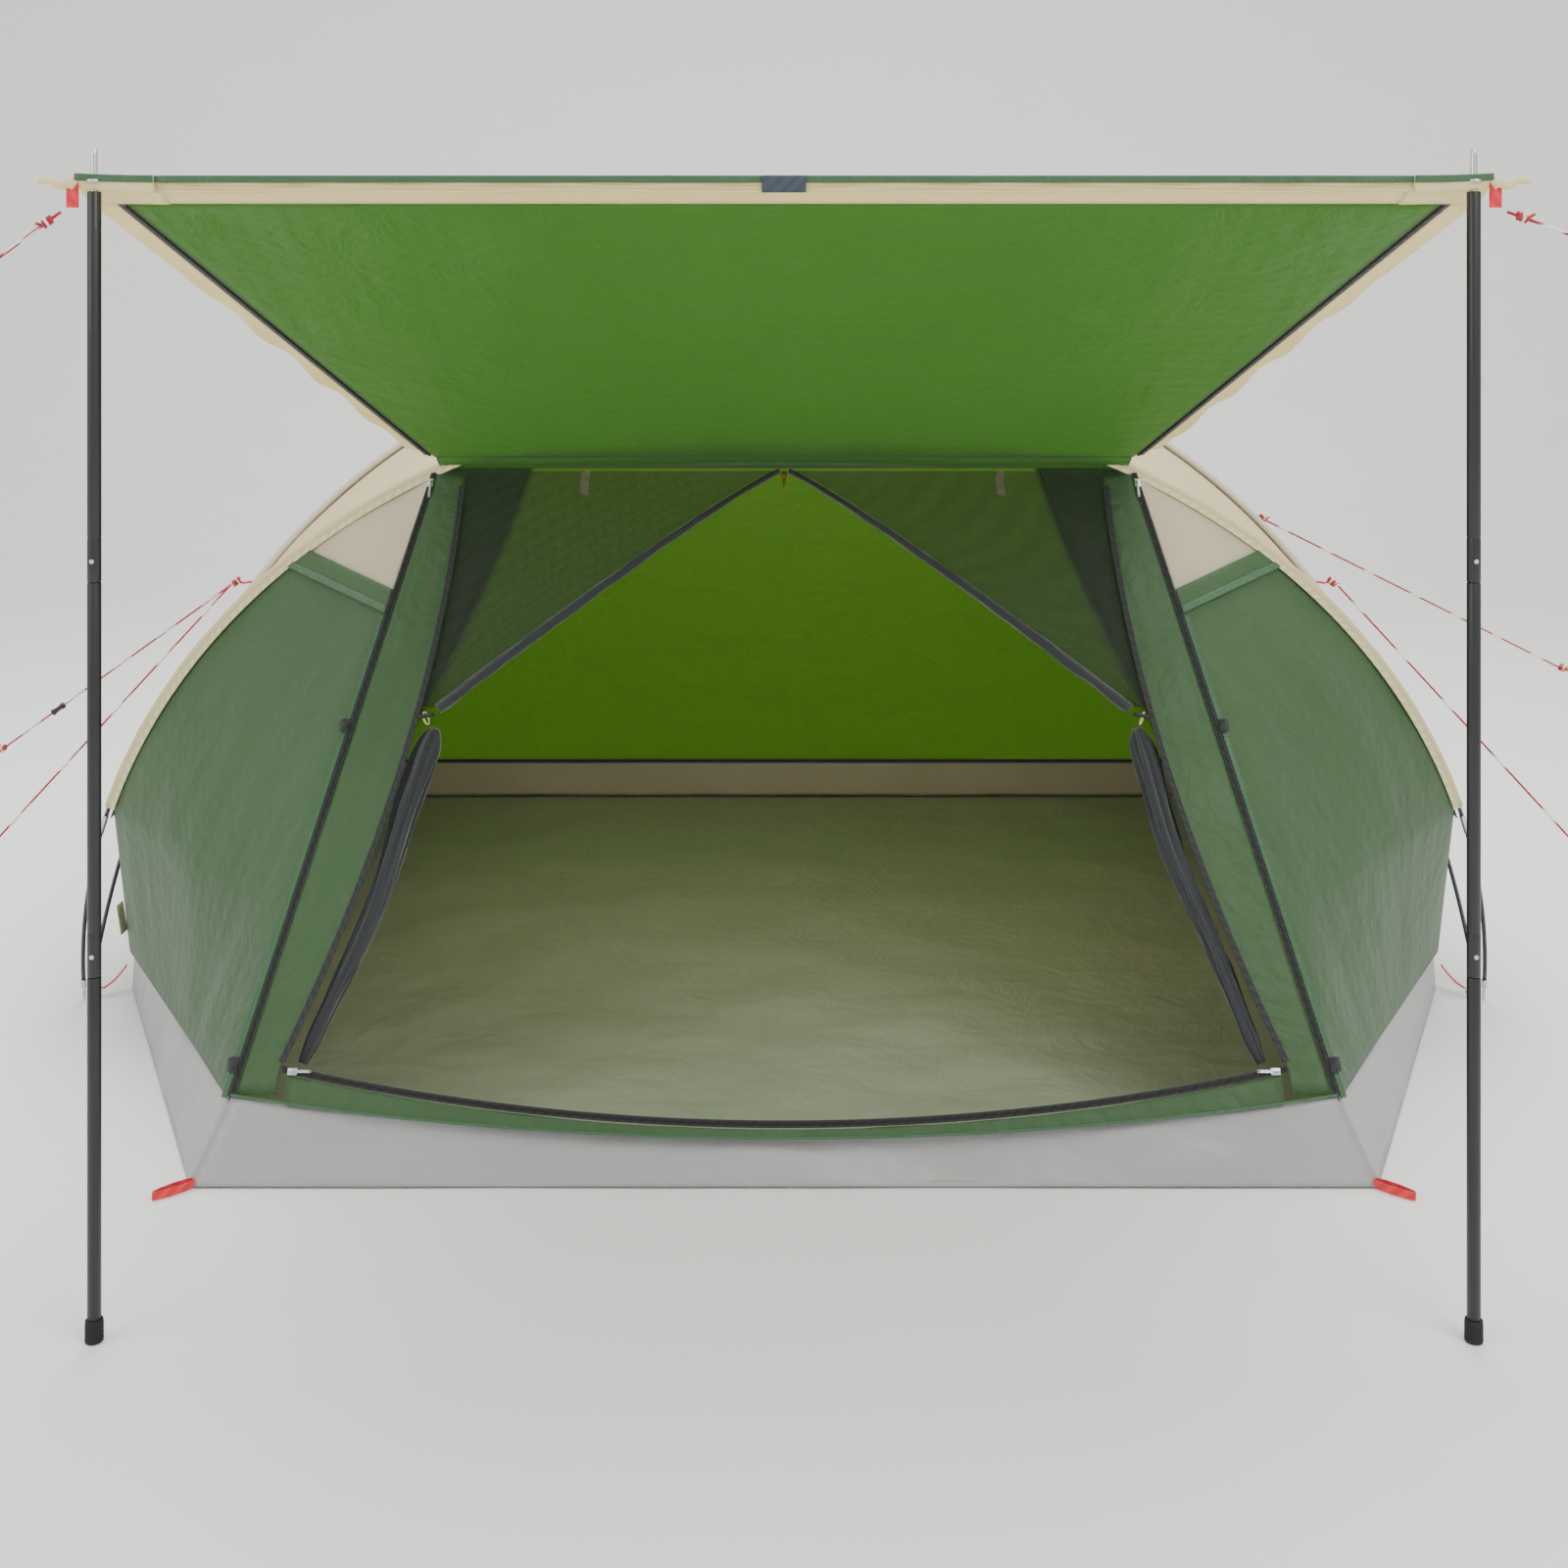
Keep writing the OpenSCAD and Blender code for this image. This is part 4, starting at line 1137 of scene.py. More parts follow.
# ---------------------------------------------------------------- floor and tub
@dataclass
class Ground:
    """Groundsheet, the sheeting tub round it and the loops that peg its corners."""

    def outline(self, down: float) -> tuple[float, float]:
        """Half width and Y of the floor from its back edge (0) to its front edge (1)."""
        side_y = SIZE.side_y
        if down < 0.5:
            share = down * 2
            return (SIZE.back_half + (SIZE.side_x - SIZE.back_half) * share,
                    SIZE.floor_back + (side_y - SIZE.floor_back) * share)
        share = down * 2 - 1
        return (SIZE.side_x + (SIZE.front_half - SIZE.side_x) * share,
                side_y + (-SIZE.floor_front - side_y) * share)

    def floor(self) -> None:
        """Groundsheet with its folds and the soft hollows of the ground."""
        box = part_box("groundsheet")
        top = box[1][2]

        def shape(down: float, across: float) -> Vector:
            """Point of the floor's upper face."""
            half, y = self.outline(down)
            return Vector((half * (1 - 2 * across) * 0.994, y * 0.994, top + 0.0035))

        piece = cloth("floor", shape, Finish.FLOOR, 110, 110, Wrinkle(0.0065, 5.0, 6.5, 81.0, 0.03), 0.002)
        settle(piece, "tent", "grey_sheeting", "groundsheet")
        declare_sheet(piece)

    def tub(self) -> None:
        """Low walls round the floor, with the folds of their corners and a bound upper edge."""
        front = Vector((SIZE.front_half, -SIZE.floor_front, 0))
        side = Vector((SIZE.side_x, SIZE.side_y, 0))
        back = Vector((SIZE.back_half, SIZE.floor_back, 0))
        tops = {
            "front": Vector((SIZE.zip_foot, SIZE.door_foot_y, SIZE.tub_h)),
            "side": Vector((SIZE.side_x - 0.006, SIZE.side_y, SIZE.side_seam)),
            "back": Vector((SIZE.back_half - 0.012, SIZE.floor_back - 0.012, SIZE.back_seam)),
        }
        low = Vector((0, 0, 0.003))
        for side_name, turn in SIDES.items():
            for which, base, top in (("front", (front, side), ("front", "side")),
                                     ("back", (side, back), ("side", "back"))):
                def wall(down: float, across: float) -> Vector:
                    """Point of the side wall."""
                    share = 0.002 + 0.996 * across
                    return mix(mix(tops[top[0]], tops[top[1]], share),
                               mix(base[0], base[1], share) + low, down)
                piece = cloth(f"tub_{which}_{side_name}", mirrored(wall, turn), Finish.SHEETING, 10, 40,
                              Wrinkle(0.008, 6.0, 8.0, 91.0 + turn, 0.12), 0.002)
                settle(piece, "tent", "grey_sheeting")
                declare_sheet(piece)

        def front_wall(down: float, across: float) -> Vector:
            """Point of the wall under the door."""
            share = 1 - 2 * across
            x = SIZE.zip_foot * share
            top = Vector((x, SIZE.door_foot_y, SIZE.seam_height(x)))
            return mix(top, Vector((SIZE.front_half * share, -SIZE.floor_front, 0.003)), down)

        def back_wall(down: float, across: float) -> Vector:
            """Point of the wall at the back."""
            share = 2 * across - 1
            return mix(Vector((tops["back"].x * share, tops["back"].y, SIZE.back_seam)),
                       Vector((back.x * share, back.y, 0.003)), down)

        piece = cloth("tub", front_wall, Finish.SHEETING, 14, 90, Wrinkle(0.009, 5.0, 9.0, 95.0, 0.12), 0.002)
        settle(piece, "tent", "grey_sheeting", "tub_wall")
        declare_sheet(piece)
        piece = cloth("tub_back", back_wall, Finish.SHEETING, 10, 60,
                      Wrinkle(0.005, 6.0, 4.0, 96.0, 0.1), 0.002)
        settle(piece, "tent", "grey_sheeting")
        declare_sheet(piece)
        self.binding(tops)
        self.lining(tops, back)

    def binding(self, tops: dict[str, Vector]) -> None:
        """Tape sewn over the seam between the tub and the canopy."""
        for side_name, turn in SIDES.items():
            for first, second in (("front", "side"), ("side", "back")):
                path = mirrored_path([mix(tops[first], tops[second], k / 24) for k in range(25)], turn)
                out = Vector((turn * 0.9, -0.4 if first == "front" else 0.25, 0.15)).normalized()
                piece = ribbon(f"tub_binding_{first}_{side_name}",
                               [p + out * 0.002 for p in path], 0.012, out,
                               Finish.NAVY, stitched=True)
                settle(piece, "tent", "dark_trim")

    def lining(self, tops: dict[str, Vector], back: Vector) -> None:
        """Inner face of the tub's back and sides, which show through the door."""
        def band(down: float, across: float) -> Vector:
            """Point of the inner band at the back."""
            share = 1 - 2 * across
            return mix(Vector(((tops["back"].x - 0.02) * share, tops["back"].y - 0.014, SIZE.back_seam)),
                       Vector(((back.x - 0.03) * share, back.y - 0.020, 0.012)), down)

        piece = cloth("inner_band", band, Finish.BAND, 10, 60, Wrinkle(0.004, 5.0, 5.0, 97.0, 0.1), 0.0012)
        settle(piece, "tent", "grey_sheeting")
        declare_sheet(piece)
        path = [Vector(((tops["back"].x - 0.02) * (1 - 2 * k / 60), tops["back"].y - 0.020,
                        SIZE.back_seam + 0.004))
                for k in range(61)]
        seam = ribbon("inner_band_seam", path, 0.010, Vector((0, -1, 0.1)).normalized(), Finish.NAVY,
                      stitched=True)
        settle(seam, "tent", "dark_trim")

    def corner_loops(self) -> None:
        """Webbing loops that peg the front corners of the floor, stood on edge and pinched at the corner."""
        for side_name, turn in SIDES.items():
            corner = Vector((SIZE.front_half - 0.006, -SIZE.floor_front + 0.004, 0.0085))
            reach = Vector((0.052, -0.044, 0))
            across = Vector((0.044, 0.052, 0)).normalized()
            path = []
            for k in range(33):
                turned = 2 * math.pi * k / 32
                out = (1 - math.cos(turned)) / 2
                path.append(corner + reach * out + across * (0.0085 * math.sin(turned) * (1 - 0.35 * out))
                            - Vector((0, 0, 0.0010 * out)))
            middle = corner + reach * 0.5

            def facing(share: float, line: Sequence[Vector] = path, centre: Vector = middle) -> Vector:
                """Outward from the loop's middle, kept level."""
                away = line[min(32, round(share * 32))] - centre
                return Vector((turn * away.x, away.y, 0)).normalized()

            loop = ribbon(f"corner_loop_{side_name}", mirrored_path(path, turn), 0.014, facing,
                          Finish.RED_TAPE, 0.0016)
            settle(loop, "tent", "red_webbing")

    def build(self) -> None:
        """Makes the floor, the tub and its loops."""
        self.floor()
        self.tub()
        self.corner_loops()
        log.info("floor and tub built")


# ---------------------------------------------------------------- hoops
@dataclass
class Hoops:
    """Glass-fibre hoops, their cloth sleeves, ferrules, tips and the webbing at their feet."""

    tip_len: float = 0.045
    ferrule_from: float = 0.372
    ferrule_to: float = 0.412

    def hoop_path(self, rear: bool, low: float, high: float, side: int = 0) -> list[Vector]:
        """Points of a hoop between two heights on one side, or over the top where side is 0."""
        angle = SIZE.rear_angle if rear else SIZE.front_angle
        hoop = SIZE.rear_hoop if rear else SIZE.front_hoop
        first = angle(low)
        last = 180 - first if side == 0 else angle(high)
        count = 120 if side == 0 else 16
        path = [hoop(first + (last - first) * k / count) for k in range(count + 1)]
        return mirrored_path(path, side or 1)

    def sleeve(self, rear: bool) -> None:
        """Sewn sleeve round a hoop, gathered where the pole pushes it along."""
        name = "rear_hoop_sleeve" if rear else "front_hoop_sleeve"
        path = self.hoop_path(rear, 0.433, 0)

        def gathers(share: float, turn: float) -> float:
            """Pleats of the sleeve, deepest near the feet."""
            near = 1 - min(share, 1 - share) / 0.25
            depth = 0.05 + 0.10 * max(0.0, near)
            return depth * noise.noise(Vector((math.cos(turn) * 1.4, math.sin(turn) * 1.4, share * 260)))

        piece = tube(name, path, SIZE.sleeve_r * 0.98, Finish.BAND if rear else Finish.CREAM, 20, gathers)
        node = "rear_sleeve" if rear else "front_sleeve"
        settle(piece, "tent", "grey_sheeting" if rear else "cream_cloth", node)
        out = Vector((0, 0.75, -0.65)) if rear else Vector((0, -0.98, -0.2))
        welt = [p + (Vector((0, 0, 0)) - p).normalized() * 0.008 + out.normalized() * 0.0085 for p in path]
        seam = ribbon(name + "_welt", welt, 0.011, out.normalized(), Finish.CREAM_TAPE, stitched=True)
        settle(seam, "tent", "cream_cloth")

    def rods(self) -> None:
        """The hoops' rods, with a metal ferrule at each joint and a turned tip at each foot."""
        for rear, name in ((False, "front"), (True, "rear")):
            top = tube(f"{name}_hoop_rod", self.hoop_path(rear, self.ferrule_to, 0), SIZE.pole_r * 0.99,
                       Finish.GLASSFIBRE, 14)
            settle(top, "tent", "fibreglass", f"{name}_hoop")
            for side_name, side in SIDES.items():
                leg = tube(f"{name}_leg_{side_name}",
                           self.hoop_path(rear, self.tip_len, self.ferrule_from, side),
                           SIZE.pole_r * 0.99, Finish.GLASSFIBRE, 14)
                ferrule = tube(f"{name}_ferrule_{side_name}",
                               self.hoop_path(rear, self.ferrule_from, self.ferrule_to, side),
                               lambda share: SIZE.pole_r + 0.0013 - 0.0008 * (abs(2 * share - 1) > 0.9),
                               Finish.BRIGHT, 20)
                tip = tube(f"{name}_tip_{side_name}", self.hoop_path(rear, 0.0022, self.tip_len, side),
                           lambda share: SIZE.pole_r + (0.0010 if share > 0.62 else
                                                        0.0004 if 0.30 < share < 0.36 else -0.0012),
                           Finish.BRIGHT, 20)
                for piece, slot in ((leg, "fibreglass"), (ferrule, "bright_metal"), (tip, "bright_metal")):
                    settle(piece, "tent", slot)
                if side_name == "left":
                    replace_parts(leg, "hoop_legs")
                    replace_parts(tip, "hoop_tips")

    def feet(self) -> None:
        """Ring and webbing strap at each side, which hold the hoops' feet to the tub."""
        for side_name, side in SIDES.items():
            middle = Vector((side * (SIZE.half - 0.023), 0, 0.015))
            ring = tube(f"foot_ring_{side_name}",
                        ring_path(middle, 0.0098, Vector((0.8, 0, 0.6)), Vector((0, 1, 0)), 1.0, steps=24),
                        0.0016, Finish.BRIGHT, 10)
            settle(ring, "tent", "bright_metal")
            start = Vector((side * (SIZE.side_x + 0.005), SIZE.side_y - 0.014, 0.058))
            end = Vector((side * (SIZE.half - 0.033), 0, 0.017))
            bend = [mix(start, end, k / 12) - Vector((0, 0, 0.006 * math.sin(math.pi * k / 12)))
                    for k in range(13)]
            strap = ribbon(f"foot_strap_{side_name}", bend, 0.019,
                           Vector((side * 0.6, -0.1, 0.8)).normalized(),
                           Finish.RED_TAPE, 0.0018, stitched=True)
            settle(strap, "tent", "red_webbing")
            if side_name == "left":
                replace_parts(strap, "foot_straps")

    def build(self) -> None:
        """Makes the hoops."""
        self.rods()
        self.sleeve(False)
        self.sleeve(True)
        self.feet()
        log.info("hoops built")


# ---------------------------------------------------------------- doorway
@dataclass
class Door:
    """Doorway: cloth borders, zips with their sliders, and the net door rolled to both sides."""

    zip_half: float = 0.006
    tab_heights: tuple[float, float] = (0.685, 0.175)
    net_top: float = 1.137
    roll_in: float = 0.027
    roll_back: float = 0.026
    tie_x: tuple[float, float] = (-0.395, 0.428)

    def borders(self) -> None:
        """Green cloth between the opening and the door zips, and under the opening."""
        for side_name, side in SIDES.items():
            def border(down: float, across: float) -> Vector:
                """Point of the side border."""
                z = SIZE.hinge_z - 0.006 + (SIZE.tub_h + 0.004 - SIZE.hinge_z + 0.006) * down
                inner = min(SIZE.opening_x(z), SIZE.sill_half)
                return SIZE.door_point(inner + (SIZE.zip_x(z) - 0.007 - inner) * across, z, 0.003)

            piece = cloth(f"door_border_{side_name}_cloth", mirrored(border, side), Finish.GREEN, 60, 12,
                          Wrinkle(0.003, 10.0, 5.0, 101.0 + side, 0.15))
            settle(piece, "tent", "green_cloth", f"door_border_{side_name}")
            declare_sheet(piece)
            edge = [SIZE.door_point(SIZE.opening_x(z) + 0.003, z, 0.0048)
                    for z in (SIZE.hinge_z - 0.036 - 0.927 * k / 40 for k in range(41))]
            binding = ribbon(f"opening_binding_{side_name}", mirrored_path(edge, side), 0.011, SIZE.door_out,
                             Finish.ZIP, stitched=True)
            settle(binding, "tent", "zip_tape")

        def sill(down: float, across: float) -> Vector:
            """Point of the cloth under the sill zip."""
            x = (SIZE.sill_half - 0.014) * (1 - 2 * across)
            z = (SIZE.sill_height(x) - 0.002
                 + (SIZE.seam_height(x) + 0.002 - SIZE.sill_height(x) + 0.002) * down)
            return SIZE.door_point(x, z, 0.003)

        piece = cloth("sill_cloth", sill, Finish.GREEN, 8, 80, Wrinkle(0.003, 8.0, 5.0, 105.0, 0.15))
        settle(piece, "tent", "green_cloth", "door_sill")
        declare_sheet(piece)
        seam = [SIZE.door_point(x, SIZE.seam_height(x) + 0.003, 0.005)
                for x in (SIZE.zip_foot * (1 - k / 30) for k in range(61))]
        tape = ribbon("tub_seam_tape", seam, 0.0045, SIZE.door_out, Finish.DARK)
        settle(tape, "tent", "dark_trim")

    def zip_line(self, name: str, path: list[Vector], finish: Finish = Finish.ZIP) -> bpy.types.Object:
        """Zip: knitted tape with a row of coil teeth on it."""
        tape = ribbon(name, path, 2 * self.zip_half, SIZE.door_out, finish, 0.0014, stitched=True)
        coil = teeth(name + "_teeth", [p + SIZE.door_out * 0.0016 for p in path], SIZE.door_out, Finish.NYLON)
        for piece in (tape, coil):
            settle(piece, "tent", "zip_tape")
        return tape

    def zips(self) -> None:
        """Zips up both sides of the door and along the sagging sill, with the bands' tabs."""
        for side_name, side in SIDES.items():
            path = [SIZE.door_point(SIZE.zip_x(z), z, 0.0030)
                    for z in (SIZE.hinge_z - 0.010 - (SIZE.hinge_z - SIZE.tub_h - 0.014) * k / 40
                              for k in range(41))]
            self.zip_line(f"door_zip_{side_name}", mirrored_path(path, side))
            for n, z in enumerate(self.tab_heights):
                tab = [SIZE.door_point(side * (SIZE.zip_x(z) + 0.006 + 0.016 * k / 6), z,
                                       0.0055 + 0.0035 * math.sin(math.pi * k / 6)) for k in range(7)]
                strap = ribbon(f"zip_tab_{n}_{side_name}", tab, 0.024, SIZE.door_out, Finish.ZIP, 0.0016)
                settle(strap, "tent", "zip_tape")
        sill = [SIZE.door_point(x, SIZE.sill_height(x) + 0.005, 0.0032)
                for x in ((SIZE.sill_half - 0.004) * (1 - k / 40) for k in range(81))]
        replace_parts(self.zip_line("sill_zip", sill), "door_zips")

    def sliders(self) -> None:
        """Sliders and pulls of the door zips and the sill zip."""
        lean = -math.degrees(math.atan2(SIZE.hinge_y - SIZE.door_foot_y, SIZE.hinge_z - SIZE.tub_h))
        for side_name, side in SIDES.items():
            z = SIZE.hinge_z - 0.030
            x = side * SIZE.zip_x(z)
            body = f"door_slider_{side_name}"
            parts = self.slider_parts(SIZE.door_point(x, z, 0.0048), (0, -1), lean, Finish.BRIGHT)
            settle(join(f"{body}_metal", parts), body, "bright_metal", body)
            x = SIZE.sill_half - 0.024
            body = f"sill_slider_{side_name}"
            place = SIZE.door_point(side * x, SIZE.sill_height(x) + 0.004, 0.0064)
            parts = self.slider_parts(place, (-side, 0), lean, Finish.BRIGHT)
            settle(join(f"{body}_metal", parts), body, "bright_metal", body)

    def slider_parts(self, place: Vector, way: tuple[int, int], lean: float,
                     finish: Finish) -> list[bpy.types.Object]:
        """Pieces of one slider.

        Args:
            place: middle of the slider, on the door's plane.
            way: direction of the pull across and up the door.
            lean: turn about X of the door's plane in degrees.
            finish: the metal's finish.

        Returns:
            The top plate, the bridge and the pull.
        """
        up = (SIZE.door_point(0, 1) - SIZE.door_point(0, 0)).normalized()
        right = Vector((1, 0, 0))
        pull_way = right * way[0] + up * way[1]
        long_side = 0.016
        size = (long_side, 0.0026, 0.011) if way[0] else (0.011, 0.0026, long_side)
        plate = block("slider_plate", place + SIZE.door_out * 0.0008, size, finish, lean, 0.0011)
        arch = [place + pull_way * (0.006 * math.cos(a)) + SIZE.door_out * (0.0018 + 0.0036 * math.sin(a))
                for a in (math.pi * k / 10 for k in range(11))]
        bridge = tube("slider_bridge", arch, 0.0011, finish, 10)
        start = place + pull_way * 0.0045 + SIZE.door_out * 0.0030
        pull = [start + pull_way * (0.022 * k / 10) for k in range(11)]
        tab = ribbon("slider_pull", pull, 0.0052, SIZE.door_out, finish, 0.0012)
        eye = tube("slider_eye", ring_path(pull[-1] + pull_way * 0.0022, 0.0020, pull_way,
                                           pull_way.cross(SIZE.door_out), 1.0, steps=16), 0.0008, finish, 8)
        return [plate, bridge, tab, eye]

    def band_x(self, z: float) -> float:
        """Distance from the middle of the net door's inner edge at height z."""
        down = (self.net_top - z) / (self.net_top - SIZE.toggle_z)
        return 0.010 + (SIZE.opening_x(SIZE.toggle_z) - 0.026) * max(0.0, down) ** 0.9

    def net(self) -> None:
        """Net halves drawn aside, their rolled edges, and the gathered net hanging at each side."""
        for side_name, side in SIDES.items():
            def half(down: float, across: float) -> Vector:
                """Point of the net half, with folds that fan out of the toggle."""
                z = self.net_top + (SIZE.toggle_z + 0.017 - self.net_top) * down
                inner = self.band_x(z) + 0.013
                x = inner + (SIZE.opening_x(z) - 0.002 - inner) * across
                fan = 0.0045 * math.sin(across * math.pi * 7) * down * math.sin(math.pi * across) ** 0.5
                return SIZE.door_point(x, z, -0.0012 - abs(fan))

            piece = cloth(f"net_half_{side_name}", mirrored(half, side), Finish.NET, 50, 48,
                          Wrinkle(0.0015, 5.0, 3.0, 111.0 + side, 0.1), 0.0006)
            settle(piece, "tent", "insect_mesh", f"mesh_door_{side_name}")
            declare_sheet(piece)
            band = [SIZE.door_point(self.band_x(z), z, -0.003)
                    for z in (self.net_top - (self.net_top - SIZE.toggle_z - 0.014) * k / 60
                              for k in range(61))]

            def rolled(share: float, turn: float) -> float:
                """Uneven turns of the rolled edge, slacker in its middle."""
                return 0.22 * noise.noise(Vector((math.cos(turn) + side, math.sin(turn), share * 14))) \
                    - 0.18 + 0.12 * math.sin(math.pi * share)

            roll = tube(f"net_edge_{side_name}", mirrored_path(band, side),
                        lambda share: 0.0060 + 0.0062 * share, Finish.NET_FOLDS, 28, rolled)
            settle(roll, "tent", "insect_mesh")
            zip_path = mirrored_path([p + SIZE.door_out * 0.0052 for p in band], side)
            tape = ribbon(f"net_zip_{side_name}", zip_path, 0.008, SIZE.door_out, Finish.ZIP, 0.0012)
            settle(tape, "tent", "zip_tape")
            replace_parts(self.gather(side_name, side), *(["mesh_rolls"] if side > 0 else []))

    def gather(self, side_name: str, side: int) -> bpy.types.Object:
        """Net gathered into a pleated, tapering bundle below the toggle."""
        low = SIZE.sill_z + 0.014
        high = SIZE.toggle_z - 0.012
        path = []
        for k in range(90):
            z = high + (low - high) * k / 89
            sway = 0.004 * math.sin(k * 0.11 + side)
            path.append(SIZE.door_point(SIZE.opening_x(z) - self.roll_in + sway, z, -self.roll_back))

        def width(share: float) -> float:
            """Radius of the bundle: pinched at the toggle and again at the tail."""
            pinch = 1 - 0.72 * math.exp(-share / 0.035)
            return (0.0245 - 0.0135 * share) * pinch * (1 if share < 0.94 else 1 - 6 * (share - 0.94))

        def pleats(share: float, turn: float) -> float:
            """Long folds down the bundle."""
            drift = 2.4 * noise.noise(Vector((share * 3, side * 5.0, 1.0)))
            deep = 0.14 * math.sin(6 * turn + drift) + 0.08 * math.sin(11 * turn - 2 * drift + share * 9)
            return deep + 0.12 * noise.noise(Vector((math.cos(turn) * 2, math.sin(turn) * 2, share * 7)))

        piece = tube(f"net_bundle_{side_name}", mirrored_path(path, side), width, Finish.NET_FOLDS, 56,
                     pleats)
        return settle(piece, "tent", "insect_mesh")

    def fastenings(self) -> None:
        """Toggles and cord loops that hold the net, the hanging ties, and the brass net slider."""
        for side_name, side in SIDES.items():
            x = side * (SIZE.opening_x(SIZE.toggle_z) - 0.016)
            middle = SIZE.door_point(x, SIZE.toggle_z, 0.009)
            along = Vector((1, 0, -0.2 * side)).normalized()
            path = [middle + along * (0.017 * (2 * k / 16 - 1)) for k in range(17)]

            def barrel(share: float) -> float:
                """Radius of the toggle: round ends and a waist for its cord."""
                reach = abs(2 * share - 1)
                return 0.0040 * math.sqrt(max(0.02, 1 - reach ** 6)) * (0.78 if reach < 0.15 else 1)

            toggle = tube(f"toggle_{side_name}", path, barrel, Finish.NYLON, 18)
            settle(toggle, "tent", "black_plastic", *(["toggles"] if side > 0 else []))
            centre = SIZE.door_point(side * (SIZE.opening_x(SIZE.toggle_z) - 0.013), SIZE.toggle_z, -0.008)
            ring = tube(f"toggle_loop_{side_name}",
                        ring_path(centre, 0.011, Vector((0.15, 1, 0)), Vector((0.35 * side, 0, 1)), 1.0),
                        0.0017, Finish.CREAM_TAPE, 10)
            settle(ring, "tent", "cream_cloth")
        for n, x in enumerate(self.tie_x):
            path = [SIZE.door_point(x + 0.0014 * math.sin(k * 0.5), SIZE.hinge_z - 0.004 - 0.044 * k / 20,
                                    -0.006 - 0.002 * math.sin(math.pi * k / 20)) for k in range(21)]
            tie = ribbon(f"hanging_tie_{n}", path, 0.016, SIZE.door_out, Finish.CREAM_TAPE, 0.0012,
                         stitched=True)
            settle(tie, "tent", "cream_cloth")
        lean = -math.degrees(math.atan2(SIZE.hinge_y - SIZE.door_foot_y, SIZE.hinge_z - SIZE.tub_h))
        parts = self.slider_parts(SIZE.door_point(0, self.net_top - 0.009, 0.0005), (0, -1), lean,
                                  Finish.BRASS)
        settle(join("net_slider", parts), "tent", "brass", "mesh_slider")

    def build(self) -> None:
        """Makes the doorway."""
        self.borders()
        self.zips()
        self.sliders()
        self.net()
        self.fastenings()
        log.info("doorway built")


